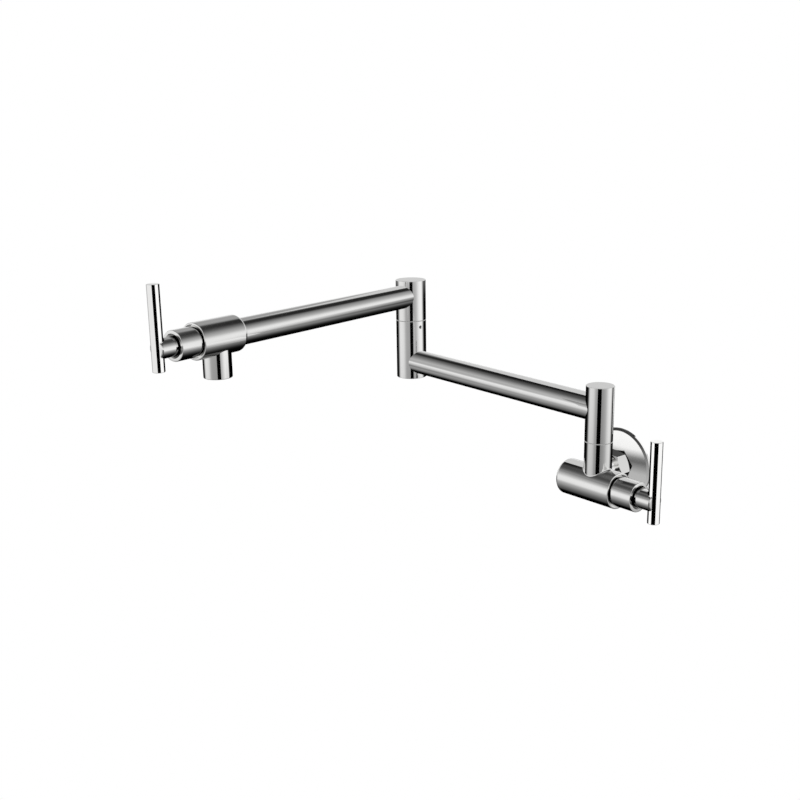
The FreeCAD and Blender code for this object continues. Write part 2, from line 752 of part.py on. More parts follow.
def make_elbow_upper_barrel():
    """The upper half of the elbow post, which carries the spigot and the upper arm."""
    body = new_piece("elbow_upper_barrel", upper_arm)
    foot = upper_face(elbow_seam_height)
    rod(body, "barrel", "Z", foot, elbow_top_height, elbow_radius)
    bevel(body, "top_bevel", rim("Z", [elbow_top_height], elbow_radius), post_edge_bevel)
    reach = add_tenon(body, upper_arm_height, elbow_radius, 1)
    socket_top = foot + spigot_thread_length
    rod(body, "spigot_socket", "Z", foot, socket_top, spigot_socket_radius, cut=True)
    chamber_end = elbow_top_height - post_end_wall
    rod(body, "chamber", "Z", socket_top, chamber_end, tenon_bore / 2, cut=True)
    bore_tenon(body, upper_arm_height, reach)


def make_tube(name, frame, height, start_radius, end, end_radius=None):
    """A straight arm tube, its ends hollowed to sit round the posts that they meet."""
    body = new_piece(name, frame)
    outer = tube_diameter / 2
    ring(body, "tube", "X", 0, end, outer - tube_wall, outer, shift=(0, height, 0))
    cope = circle_sketch(body, "start_circle", "XY_Plane", 0, 0, start_radius + braze_gap)
    cut_through(body, "start_cope", cope)
    if end_radius is not None:
        cope = circle_sketch(body, "end_circle", "XY_Plane", end, 0, end_radius + braze_gap)
        cut_through(body, "end_cope", cope)


# ---------------------------------------------------------------------------------------
# Valve bodies
# ---------------------------------------------------------------------------------------

body_radius = body_diameter / 2
collar_radius = collar_diameter / 2


def bore_for_cartridge(body, front):
    """The stepped bore that a cartridge screws into, from the front rim to its seat."""
    step = front - collar_recess_depth
    thread_end = step - cartridge_thread_length
    seat = front - cartridge_depth
    recess = collar_radius + collar_recess_gap
    rod(body, "collar_recess", "X", step, front, recess, cut=True)
    thread = cartridge_thread_diameter / 2 + thread_gap
    rod(body, "cartridge_thread", "X", thread_end, step, thread, cut=True)
    bore = cartridge_diameter / 2 + cartridge_gap
    rod(body, "cartridge_bore", "X", seat, thread_end, bore, cut=True)
    return seat


def make_inlet_valve_body():
    """Barrel, riser stub and inlet boss in one casting, with the water path bored through."""
    body = new_piece("inlet_valve_body", inlet)
    rod(body, "barrel", "X", -inlet_body_tail, inlet_body_front, body_radius)
    soften(body, "tail_round", rim("X", [-inlet_body_tail], body_radius), inlet_tail_round)
    bevel(body, "front_bevel", rim("X", [inlet_body_front], body_radius), body_rim_bevel)
    top = lower_face(riser_seam_height)
    rod(body, "riser", "Z", 0, top, riser_radius)
    soften(body, "riser_root", riser_root(riser_radius, top), riser_root_round)
    rod(body, "inlet_boss", "Y", 0, boss_reach, boss_diameter / 2, shift=(0, 0, -riser_offset))
    seat = bore_for_cartridge(body, inlet_body_front)
    chamber = water_chamber_bore / 2
    rod(body, "water_chamber", "X", body_wall - inlet_body_tail, seat, chamber, cut=True)
    socket_floor = top - spigot_thread_length
    rod(body, "spigot_socket", "Z", socket_floor, top, spigot_socket_radius, cut=True)
    rod(body, "riser_bore", "Z", 0, socket_floor, riser_bore / 2, cut=True)
    shift = (0, 0, -riser_offset)
    tail_seat = boss_reach - tail_thread_length
    tail_radius = tail_diameter / 2 + thread_gap
    rod(body, "tail_socket", "Y", tail_seat, boss_reach, tail_radius, cut=True, shift=shift)
    rod(body, "inlet_bore", "Y", 0, tail_seat, tail_bore / 2, cut=True, shift=shift)


def make_outlet_valve_body():
    """Barrel over the spout, with a socket for the arm tube at its tail."""
    body = new_piece("outlet_valve_body", outlet)
    rod(body, "barrel", "X", -outlet_body_tail, outlet_body_front, body_radius)
    soften(body, "tail_round", rim("X", [-outlet_body_tail], body_radius), outlet_tail_round)
    bevel(body, "front_bevel", rim("X", [outlet_body_front], body_radius), body_rim_bevel)
    rod(body, "spout", "Z", 0, -spout_length, spout_diameter / 2)
    bevel(body, "spout_bevel", rim("Z", [-spout_length], spout_diameter / 2), spout_edge_bevel)
    seat = bore_for_cartridge(body, outlet_body_front)
    socket_floor = tube_socket_depth - outlet_body_tail
    socket = tube_diameter / 2 + braze_gap
    rod(body, "tube_socket", "X", -outlet_body_tail, socket_floor, socket, cut=True)
    rod(body, "water_chamber", "X", socket_floor, seat, water_chamber_bore / 2, cut=True)
    thread = aerator_diameter / 2 + thread_gap
    rod(body, "aerator_thread", "Z", -spout_length, aerator_roof, thread, cut=True)
    rod(body, "spout_bore", "Z", aerator_roof, 0, riser_bore / 2, cut=True)


aerator_foot = aerator_recess - spout_length
aerator_top = aerator_foot + aerator_height
aerator_roof = aerator_top + aerator_washer_thickness


def make_aerator():
    """The threaded ring inside the spout, the flow insert in it and the washer over it."""
    outer = aerator_diameter / 2
    inner = outer - aerator_wall
    body = new_piece("aerator_housing", outlet)
    turn(body, "ring", "Z", [
        (aerator_foot, inner - insert_lip), (aerator_foot, outer), (aerator_top, outer),
        (aerator_top, inner), (aerator_foot + insert_lip, inner),
        (aerator_foot + insert_lip, inner - insert_lip),
    ])
    body = new_piece("aerator_insert", outlet)
    bottom = aerator_foot + insert_lip
    rod(body, "plug", "Z", bottom, bottom + insert_height, inner - thread_gap)
    hole = insert_hole_diameter / 2
    cut_through(body, "middle_hole", circle_sketch(body, "middle", "XY_Plane", 0, 0, hole))
    sketch = circle_sketch(body, "outer_circle", "XY_Plane", insert_ring_radius, 0, hole)
    outer_hole = cut_through(body, "outer_hole", sketch)
    polar_copies(body, "outer_holes", outer_hole, sketch, insert_hole_count)
    body = new_piece("aerator_washer", outlet)
    ring(body, "washer", "Z", aerator_top, aerator_roof, riser_bore / 2, outer)


def polar_copies(body, name, feature, sketch, count):
    """Repeat a cut evenly about the axis that stands on its sketch."""
    doc.recompute()
    pattern = body.newObject("PartDesign::PolarPattern", name)
    pattern.Originals = [feature]
    pattern.Axis = (sketch, ["N_Axis"])
    pattern.Angle = 360
    pattern.setExpression("Occurrences", as_size(count).formula)
    body.Tip = pattern


# ---------------------------------------------------------------------------------------
# Cartridge and handle, the same at both valves, turned about X from the front rim
# ---------------------------------------------------------------------------------------

def make_disc(name, frame, back, facing, slot):
    """A lapped ceramic disc with two opposite ports, and a drive slot on the moving one."""
    body = new_piece(name, frame)
    rod(body, "disc", "X", back, back + disc_thickness, cartridge_bore / 2 - disc_side_gap)
    middle = (0, 0, back + disc_thickness / 2)
    sketch = port_sketch(body, "port_outline", middle, facing)
    polar_copies(body, "ports", cut_through(body, "port", sketch), sketch, 2)
    if slot:
        floor = back + disc_thickness - drive_slot_depth / 2
        corners = oblong(drive_slot_length / 2, drive_slot_width / 2)
        block(body, "drive_slot", "YZ_Plane", corners, (0, 0, floor), drive_slot_depth, cut=True)


def make_cartridge(side, frame, front):
    """Seat seal, discs, housing and stem of one quarter-turn valve, closed at rest."""
    seat = front - cartridge_depth
    back = seat + seat_seal_thickness
    body = new_piece(side + "_seat_seal", frame)
    ring(body, "seal", "X", seat, back, water_chamber_bore / 2, cartridge_diameter / 2)
    make_disc(side + "_fixed_disc", frame, back, 0, slot=False)
    moving_back = back + disc_thickness + disc_gap
    make_disc(side + "_moving_disc", frame, moving_back, 90, slot=True)
    make_housing(side, frame, front, back)
    make_stem(side, frame, front, moving_back + disc_thickness)


def make_housing(side, frame, front, back):
    """The brass housing: a windowed skirt, a thread, a flange and a neck for the collar."""
    body = new_piece(side + "_cartridge_housing", frame)
    flange_back = front - collar_recess_depth
    flange_front = flange_back + housing_flange_thickness
    thread_back = flange_back - cartridge_thread_length
    step = front - housing_step
    neck_front = front + housing_neck_reach
    stem_bore = stem_diameter / 2 + stem_running_gap
    turn(body, "housing", "X", [
        (back, cartridge_bore / 2), (back, cartridge_diameter / 2),
        (thread_back, cartridge_diameter / 2), (thread_back, cartridge_thread_diameter / 2),
        (flange_back, cartridge_thread_diameter / 2), (flange_back, housing_flange_diameter / 2),
        (flange_front, housing_flange_diameter / 2), (flange_front, housing_neck_diameter / 2),
        (neck_front, housing_neck_diameter / 2), (neck_front, stem_bore),
        (step, stem_bore), (step, cartridge_bore / 2),
    ])
    corners = oblong(window_length / 2, window_width / 2)
    middle = front - window_front - window_length / 2
    sketch = outline_sketch(body, "window_outline", "XY_Plane", corners, (middle, 0, 0))
    cut_through(body, "windows", sketch)


def make_stem(side, frame, front, disc_front):
    """The turning stem: drive tongue, thrust shoulder, seal grooves, clip groove and grip."""
    body = new_piece(side + "_stem", frame)
    radius = stem_diameter / 2
    root = disc_front + disc_gap
    shoulder_front = front - housing_step - stem_running_gap
    shoulder_back = shoulder_front - stem_shoulder_length
    clip_back = front + housing_neck_reach + stem_running_gap
    clip_front = clip_back + clip_thickness
    grip_back = clip_front + clip_thickness
    grip_front = front + stem_grip_reach
    turn(body, "stem", "X", [
        (root, 0), (root, radius), (shoulder_back, radius),
        (shoulder_back, stem_shoulder_diameter / 2), (shoulder_front, stem_shoulder_diameter / 2),
        (shoulder_front, radius), (clip_back, radius), (clip_back, clip_groove_diameter / 2),
        (clip_front, clip_groove_diameter / 2), (clip_front, radius), (grip_back, radius),
        (grip_back, stem_grip_diameter / 2), (grip_front, stem_grip_diameter / 2), (grip_front, 0),
    ])
    tongue = drive_slot_depth
    corners = oblong(drive_slot_length / 2 - disc_gap, drive_slot_width / 2 - disc_gap)
    block(body, "tongue", "YZ_Plane", corners, (0, 0, root - tongue / 2), tongue)
    half = stem_seal_section / 2 + seal_side_gap
    places = [front - stem_seal_place, front - stem_seal_place + stem_seal_pitch]
    for index, place in enumerate(places):
        groove = "seal_groove_%d" % (index + 1)
        floor = radius - stem_seal_section
        ring(body, groove, "X", place - half, place + half, floor, radius, cut=True)
    flat_length = (grip_front - grip_back) / 2
    flat_middle = grip_front - flat_length / 2
    flat_floor = stem_flat_depth - stem_grip_diameter / 2
    drop = stem_grip_diameter / 2
    block(body, "grip_flat", "XZ_Plane", [
        (-flat_length / 2, flat_floor - drop), (flat_length / 2, flat_floor - drop),
        (flat_length / 2, flat_floor), (-flat_length / 2, flat_floor),
    ], (flat_middle, 0, 0), stem_grip_diameter, cut=True)
    mean = radius - stem_seal_section / 2
    seal_rings(side + "_stem_seals", frame, "X", places, mean, stem_seal_section)
    clip = new_piece(side + "_stem_clip", frame)
    ring(clip, "clip", "X", clip_back, clip_front, clip_groove_diameter / 2, clip_diameter / 2)
    jaw = clip_jaw_opening / 2
    block(clip, "jaws", "YZ_Plane", [
        (-jaw, 0), (jaw, 0), (jaw, clip_diameter), (-jaw, clip_diameter),
    ], (0, 0, (clip_back + clip_front) / 2), clip_thickness * 2, cut=True)


def make_collar(side, frame, front):
    """The bonnet sleeve: a skirt over the housing flange, a thread, a web and an open mouth."""
    body = new_piece(side + "_collar", frame)
    back = front - collar_recess_depth + collar_seat_gap
    skirt_floor = front - collar_recess_depth + housing_flange_thickness + collar_seat_gap
    web_back = front + housing_neck_reach + collar_seat_gap
    web_front = web_back + collar_web_thickness
    mouth = front + collar_reach
    skirt = housing_flange_diameter / 2 + collar_seat_gap
    thread = housing_neck_diameter / 2 + thread_gap
    turn(body, "sleeve", "X", [
        (back, skirt), (back, collar_radius), (mouth, collar_radius),
        (mouth, collar_mouth_diameter / 2), (web_front, collar_mouth_diameter / 2),
        (web_front, collar_web_bore / 2), (web_back, collar_web_bore / 2),
        (web_back, thread), (skirt_floor, thread), (skirt_floor, skirt),
    ])
    bevel(body, "mouth_bevel", rim("X", [mouth], collar_radius), collar_rim_bevel)


def make_handle(side, frame, front):
    """Hub on the stem, cross bar in the hub's saddle, and the two screws that hold them."""
    hub_radius = hub_diameter / 2
    bar_radius = bar_diameter / 2
    hub_back = front + hub_rear_place
    bar_axis = front + bar_place
    hub_front = bar_axis + hub_nose_reach
    saddle = bar_radius + saddle_gap
    head_front = bar_axis - saddle - bar_screw_web
    head_back = head_front - bar_screw_head_length
    screw_end = bar_axis - saddle + bar_screw_bite
    grip_bore = stem_grip_diameter / 2 + thread_gap

    body = new_piece(side + "_handle_hub", frame)
    rod(body, "hub", "X", hub_back, hub_front, hub_radius)
    soften(body, "nose_round", rim("X", [hub_front], hub_radius), hub_nose_round)
    rod(body, "stem_bore", "X", hub_back, head_front, grip_bore, cut=True)
    shank_hole = bar_screw_diameter / 2 + thread_gap
    rod(body, "shank_hole", "X", head_front, bar_axis, shank_hole, cut=True)
    cut_through(body, "saddle", circle_sketch(body, "saddle_circle", "XY_Plane", bar_axis, 0, saddle))
    hole = hub_screw_diameter / 2 + thread_gap
    drill_down(body, "hub_screw_hole", front + hub_screw_place, hole, hub_diameter)

    bar_frame = add_frame(side + "_bar_frame", frame, bar_axis, 0, 0, 0)
    body = new_piece(side + "_handle_bar", bar_frame)
    rod(body, "bar", "Z", -bar_below, bar_above, bar_radius)
    bevel(body, "end_bevels", rim("Z", [-bar_below, bar_above], bar_radius), bar_edge_bevel)
    rod(body, "screw_hole", "X", -bar_diameter, screw_end - bar_axis + thread_gap,
        bar_screw_diameter / 2 + thread_gap, cut=True)

    body = new_piece(side + "_bar_screw", frame)
    turn(body, "screw", "X", [
        (head_back, 0), (head_back, bar_screw_head / 2), (head_front, bar_screw_head / 2),
        (head_front, bar_screw_diameter / 2), (screw_end, bar_screw_diameter / 2), (screw_end, 0),
    ])
    depth = bar_screw_head_length / 2
    hexagon(body, "key_socket", "YZ_Plane", (0, 0, head_back), depth, bar_screw_head / 2, cut=True)

    screw_frame = add_frame(side + "_hub_screw_frame", frame, front + hub_screw_place, 0, 0, 0)
    body = new_piece(side + "_hub_screw", screw_frame)
    mouth = hub_screw_recess - hub_radius
    tip = stem_flat_depth - stem_grip_diameter / 2
    rod(body, "screw", "Z", mouth, tip, hub_screw_diameter / 2)
    hexagon(body, "key_socket", "XY_Plane", (0, 0, mouth),
            set_screw_key_depth, hub_screw_diameter / 2, cut=True)


# ---------------------------------------------------------------------------------------
# The whole pot filler
# ---------------------------------------------------------------------------------------

make_wall_flange()
make_flange_gasket()
make_inlet_nipple()
make_union_washer()
make_inlet_tailpiece()
make_union_nut()
make_inlet_valve_body()
make_spigot("base_spigot", inlet, riser_seam_height, lower_face(riser_seam_height), 1)
make_slide_washer("base_slide_washer", inlet, riser_seam_height, riser_radius)

make_base_swivel_barrel()
make_tube(
    "lower_arm_tube", lower_arm, lower_arm_height, riser_radius, lower_arm_length, elbow_radius
)
make_elbow_lower_barrel()
make_slide_washer("elbow_slide_washer", elbow_end, elbow_seam_height, elbow_radius)

make_elbow_upper_barrel()
make_spigot("elbow_spigot", upper_arm, elbow_seam_height, upper_face(elbow_seam_height), -1)
upper_tube_end = upper_arm_length - outlet_body_tail + tube_socket_depth
make_tube("upper_arm_tube", upper_arm, upper_arm_height, elbow_radius, upper_tube_end)
make_outlet_valve_body()
make_aerator()

for side, frame, front in (
    ("inlet", inlet, inlet_body_front), ("outlet", outlet, outlet_body_front)
):
    make_cartridge(side, frame, front)
    make_collar(side, frame, front)
    make_handle(side, frame, front)

doc.recompute()
for item in doc.Objects:
    if "Invalid" in item.State or "Error" in item.State:
        raise RuntimeError("%s failed: %s" % (item.Label, item.getStatusString()))
for piece in pieces:
    if piece.Shape.isNull() or not piece.Shape.isValid():
        raise RuntimeError(piece.Label + " has no sound shape")

os.makedirs("parts", exist_ok=True)
for piece in pieces:
    piece.Shape.exportStep("parts/%s.step" % piece.Label)
    print("%-26s %10.1f mm3, solids %d" % (piece.Label, piece.Shape.Volume, len(piece.Shape.Solids)))
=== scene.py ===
"""Looks of a wall mounted pot filler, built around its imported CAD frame.

The chromed pieces are turned, bored and joined here at the sizes of the CAD model. The inner
pieces keep their CAD meshes and get their finishes. Lengths are in metres, +Z is up, +Y points
into the wall and -Y out into the room.
"""

import json
import logging
import math
from dataclasses import dataclass
from enum import Enum
from typing import Callable, Sequence

import bmesh
import bpy
from mathutils import Matrix, Vector

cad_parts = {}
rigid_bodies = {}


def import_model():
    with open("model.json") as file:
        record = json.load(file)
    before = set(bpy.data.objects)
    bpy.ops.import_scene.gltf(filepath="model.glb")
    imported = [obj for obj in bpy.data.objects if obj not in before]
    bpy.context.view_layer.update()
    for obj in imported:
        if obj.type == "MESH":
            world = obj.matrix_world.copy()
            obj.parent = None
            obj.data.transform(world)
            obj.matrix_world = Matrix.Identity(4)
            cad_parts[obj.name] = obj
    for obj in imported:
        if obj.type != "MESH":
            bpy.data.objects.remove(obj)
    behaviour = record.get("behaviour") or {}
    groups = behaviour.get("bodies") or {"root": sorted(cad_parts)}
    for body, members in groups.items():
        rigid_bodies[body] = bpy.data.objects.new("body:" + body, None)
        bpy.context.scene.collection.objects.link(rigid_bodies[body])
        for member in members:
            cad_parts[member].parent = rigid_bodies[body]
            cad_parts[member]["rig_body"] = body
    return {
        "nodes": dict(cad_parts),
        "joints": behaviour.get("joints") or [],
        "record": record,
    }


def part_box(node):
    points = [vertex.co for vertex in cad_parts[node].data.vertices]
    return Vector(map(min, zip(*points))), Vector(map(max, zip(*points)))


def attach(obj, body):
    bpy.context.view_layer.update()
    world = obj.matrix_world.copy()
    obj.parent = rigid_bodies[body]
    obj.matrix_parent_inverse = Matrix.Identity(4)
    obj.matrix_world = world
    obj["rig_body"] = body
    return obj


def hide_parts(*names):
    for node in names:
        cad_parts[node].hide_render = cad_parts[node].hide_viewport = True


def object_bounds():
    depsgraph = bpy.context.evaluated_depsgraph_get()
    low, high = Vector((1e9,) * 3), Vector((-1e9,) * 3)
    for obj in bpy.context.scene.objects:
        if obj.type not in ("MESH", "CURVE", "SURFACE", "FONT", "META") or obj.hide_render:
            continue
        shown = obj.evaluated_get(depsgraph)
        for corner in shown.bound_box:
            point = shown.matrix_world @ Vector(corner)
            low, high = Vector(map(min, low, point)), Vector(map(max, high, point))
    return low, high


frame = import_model()
CAD_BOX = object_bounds()

log = logging.getLogger("pot_filler")

MM = 0.001
DEGREE = math.radians(1)
UP = Vector((0, 0, 1))
DOWN = -UP
ROOM = Vector((0, -1, 0))

Outline = Sequence[tuple[float, float]]


# ---------------------------------------------------------------------------------------
# Places, read from the frame
# ---------------------------------------------------------------------------------------

def joint(name: str) -> dict:
    """The frame's record of one joint.

    Args:
        name: the joint's name in the record.

    Returns:
        The joint, with its place and axis.
    """
    return next(entry for entry in frame["joints"] if entry["name"] == name)


def joint_place(name: str) -> Vector:
    """A point on a joint's axis, in metres."""
    return Vector(joint(name)["pos_m"])


def level(node: str) -> tuple[float, float]:
    """The lowest and highest height of a CAD node."""
    low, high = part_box(node)
    return low.z, high.z


def middle_height(node: str) -> float:
    """The height of a CAD node's middle."""
    return sum(level(node)) / 2


def seat(origin: Vector, along: Vector, up: Vector) -> Matrix:
    """The placement that lays a piece's own Z axis along a direction.

    Args:
        origin: where the piece's own origin goes.
        along: the direction that its Z axis takes.
        up: the direction that its X axis takes, square to along.

    Returns:
        The matrix from the piece's own space to the frame.
    """
    matrix = Matrix((up, along.cross(up), along)).transposed().to_4x4()
    matrix.translation = origin
    return matrix


# ---------------------------------------------------------------------------------------
# Finishes
# ---------------------------------------------------------------------------------------

class NodeSheet:
    """A node tree that is laid out from empty, one call a node."""

    def __init__(self, tree: bpy.types.NodeTree) -> None:
        """Empty the tree.

        Args:
            tree: the material's or the world's node tree.
        """
        self.tree = tree
        tree.nodes.clear()

    def add(self, kind: str, inputs: dict | None = None, **settings: object) -> bpy.types.Node:
        """Add a node, set it up and fill its sockets.

        Args:
            kind: the node's Blender type name.
            inputs: values or output sockets for its inputs, by name or number.
            settings: the node's own properties.

        Returns:
            The new node.
        """
        node = self.tree.nodes.new(kind)
        for name, value in settings.items():
            setattr(node, name, value)
        for key, value in (inputs or {}).items():
            if isinstance(value, bpy.types.NodeSocket):
                self.tree.links.new(value, node.inputs[key])
            else:
                node.inputs[key].default_value = value
        return node

    def noise(self, place: bpy.types.NodeSocket, scale: float, detail: float) -> bpy.types.NodeSocket:
        """Fractal noise over a place, from 0 to 1."""
        inputs = {"Vector": place, "Scale": scale, "Detail": detail}
        return self.add("ShaderNodeTexNoise", inputs).outputs["Fac"]

    def spread(
        self, value: bpy.types.NodeSocket, low: float, high: float, start: float = 0, end: float = 1
    ) -> bpy.types.NodeSocket:
        """Carry a value from one range into another, held at its ends."""
        inputs = {"Value": value, "From Min": start, "From Max": end, "To Min": low, "To Max": high}
        return self.add("ShaderNodeMapRange", inputs).outputs["Result"]

    def math(self, operation: str, *values: object) -> bpy.types.NodeSocket:
        """One step of arithmetic on values or sockets."""
        inputs = dict(enumerate(values))
        return self.add("ShaderNodeMath", inputs, operation=operation).outputs[0]

    def mix(self, share: object, nothing: object, full: object) -> bpy.types.NodeSocket:
        """Blend two values: the first at a share of 0, the second at 1."""
        inputs = {0: share, 2: nothing, 3: full}
        return self.add("ShaderNodeMix", inputs, data_type="FLOAT").outputs[0]

    def ramp(
        self, value: bpy.types.NodeSocket, stops: Outline, unit: float = DEGREE
    ) -> bpy.types.NodeSocket:
        """A brightness that follows an angle or a length.

        Args:
            value: the angle in radians, or the length in metres.
            stops: pairs of place and brightness, in rising order.
            unit: the unit that the stops' places are in.

        Returns:
            The brightness at that value.
        """
        first, last = stops[0][0], stops[-1][0]
        share = self.spread(value, 0, 1, first * unit, last * unit)
        node = self.add("ShaderNodeValToRGB", {"Fac": share})
        ramp = node.color_ramp
        ramp.interpolation = "LINEAR"
        while len(ramp.elements) > 1:
            ramp.elements.remove(ramp.elements[-1])
        for index, (value_there, brightness) in enumerate(stops):
            place = (value_there - first) / (last - first)
            stop = ramp.elements[0] if index == 0 else ramp.elements.new(place)
            stop.position = place
            stop.color = (brightness, brightness, brightness, 1)
        return node.outputs["Color"]


@dataclass(frozen=True)
class Finish:
    """A surface finish: its colour, its gloss and the fine unevenness of its surface.

    Clouds are slow changes of tone over the piece. The grain is the fine texture that roughens
    the surface, and its depth is in metres.
    """

    name: str
    colour: tuple[float, float, float]
    cloud_depth: float
    cloud_scale: float
    metallic: float
    roughness: tuple[float, float]
    grain_scale: float
    grain_depth: float
    grain_stretch: tuple[float, float, float] = (1, 1, 1)

    def material(self) -> bpy.types.Material:
        """Make the node material.

        Returns:
            The material, new in this file.
        """
        material = bpy.data.materials.new(self.name)
        material.use_nodes = True
        sheet = NodeSheet(material.node_tree)
        place = sheet.add("ShaderNodeTexCoord").outputs["Object"]
        clouds = sheet.noise(place, self.cloud_scale, 3)
        shade = sheet.spread(clouds, 1 - self.cloud_depth, 1, 0.3, 0.7)
        tone = sheet.add("ShaderNodeCombineColor", {
            channel: sheet.math("MULTIPLY", shade, level)
            for channel, level in enumerate(self.colour)
        })
        mapping = {"Vector": place, "Scale": self.grain_stretch}
        stretched = sheet.add("ShaderNodeMapping", mapping).outputs["Vector"]
        grain = sheet.noise(stretched, self.grain_scale, 4)
        gloss = sheet.spread(grain, self.roughness[0], self.roughness[1], 0.3, 0.7)
        bump = sheet.add("ShaderNodeBump", {
            "Strength": 1.0, "Distance": self.grain_depth, "Height": grain,
        })
        surface = sheet.add("ShaderNodeBsdfPrincipled", {
            "Base Color": tone.outputs["Color"], "Metallic": self.metallic,
            "Roughness": gloss, "Normal": bump.outputs["Normal"],
        })
        sheet.add("ShaderNodeOutputMaterial", {"Surface": surface.outputs["BSDF"]})
        return material


CHROME = Finish("polished_chrome", (0.90, 0.898, 0.89), 0.03, 35, 1, (0.045, 0.075), 900, 0.4e-6)
PLATED_FLANGE = Finish("spun_chrome", (0.96, 0.958, 0.95), 0.04, 35, 1, (0.12, 0.16), 700, 1e-6)
BRASS = Finish("turned_brass", (0.80, 0.60, 0.28), 0.12, 60, 1, (0.18, 0.32), 1500, 4e-6)
STEEL = Finish("satin_steel", (0.42, 0.42, 0.43), 0.1, 80, 1, (0.25, 0.4), 2500, 3e-6)
# Set screw finish: partly blackened steel, and made matte and near black (0.006) as painted shade that
# stands in for the shade in the drilled holes.
BLACK_STEEL_HOLE_SHADE = Finish("blackened_steel_hole_shade", (0.006, 0.006, 0.006), 0.1, 80, 0, (0.6, 0.8), 2500, 3e-6)
RUBBER = Finish("seal_rubber", (0.02, 0.02, 0.021), 0.3, 120, 0, (0.45, 0.65), 1800, 8e-6)
FOAM = Finish("gasket_foam", (0.05, 0.05, 0.052), 0.4, 300, 0, (0.8, 0.95), 1200, 60e-6)
CERAMIC = Finish("lapped_ceramic", (0.88, 0.86, 0.80), 0.04, 90, 0, (0.08, 0.16), 1500, 1e-6)
MOULDED = Finish("slide_plastic", (0.50, 0.50, 0.49), 0.08, 150, 0, (0.35, 0.5), 1400, 5e-6)

FINISH_OF_SLOT = {
    "chrome": CHROME, "brass": BRASS, "steel": STEEL, "rubber": RUBBER, "foam": FOAM,
    "ceramic": CERAMIC, "slide_plastic": MOULDED,
}


class FinishRack:
    """Every finish in use, each made into a material once."""

    def __init__(self) -> None:
        """Start with no materials."""
        self.made: dict[str, bpy.types.Material] = {}

    def material(self, finish: Finish) -> bpy.types.Material:
        """The material of a finish, made at its first use."""
        if finish.name not in self.made:
            self.made[finish.name] = finish.material()
        return self.made[finish.name]

    def dress_cad_nodes(self) -> None:
        """Give every CAD node the finish of its slot, except the set screws, which get a near-black
        finish of painted shade, and keep every node out of the mirror images.
        """
        for entry in frame["record"]["subparts"]:
            node = frame["nodes"][entry["node"]]
            node.visible_glossy = False
            finish = FINISH_OF_SLOT[entry["material_slot"]]
            # The set screws get the near-black finish of painted shade in place of their slot's steel,
            # so that their holes read dark.
            if "set_screw" in entry["node"]:
                finish = BLACK_STEEL_HOLE_SHADE
            material = self.material(finish)
            for slot in node.material_slots:
                slot.material = material


# ---------------------------------------------------------------------------------------
# Shop tools
# ---------------------------------------------------------------------------------------

class Join(Enum):
    """How a second form changes a piece."""

    ADD = "UNION"
    CUT = "DIFFERENCE"
    TRIM = "INTERSECT"


@dataclass(frozen=True)
class Rim:
    """A round edge of a turned piece, and how far it is bevelled or rounded."""

    place: float
    radius: float
    size: float
    steps: int = 1


def take_up(piece: bpy.types.Object) -> None:
    """Select one piece alone and make it the active one."""
    bpy.ops.object.select_all(action="DESELECT")
    piece.select_set(True)
    bpy.context.view_layer.objects.active = piece


def select_edges(wanted: Callable[[Vector, Vector], bool]) -> None:
    """In edit mode, select the edges whose two ends pass a test.

    Args:
        wanted: the test, given the places of both ends.
    """
    bpy.ops.mesh.select_mode(type="EDGE")
    bpy.ops.mesh.select_all(action="DESELECT")
    mesh = bpy.context.edit_object.data
    form = bmesh.from_edit_mesh(mesh)
    for edge in form.edges:
        edge.select_set(wanted(edge.verts[0].co, edge.verts[1].co))
    bmesh.update_edit_mesh(mesh)


def combine(piece: bpy.types.Object, other: bpy.types.Object, how: Join) -> None:
    """Join, cut or trim a piece with another form, which is used up.

    Args:
        piece: the piece that changes.
        other: the form that changes it.
        how: whether the form is added, cut away or kept in common.
    """
    take_up(piece)
    bpy.ops.object.modifier_add(type="BOOLEAN")
    modifier = piece.modifiers[-1]
    modifier.operation = how.value
    modifier.solver = "EXACT"
    modifier.object = other
    bpy.ops.object.modifier_apply(modifier=modifier.name)
    bpy.data.objects.remove(other)


def place(piece: bpy.types.Object, matrix: Matrix) -> bpy.types.Object:
    """Carry a piece to its seat and leave its place in its mesh."""
    take_up(piece)
    piece.matrix_world = matrix @ piece.matrix_world
    bpy.ops.object.transform_apply(location=True, rotation=True, scale=True)
    return piece


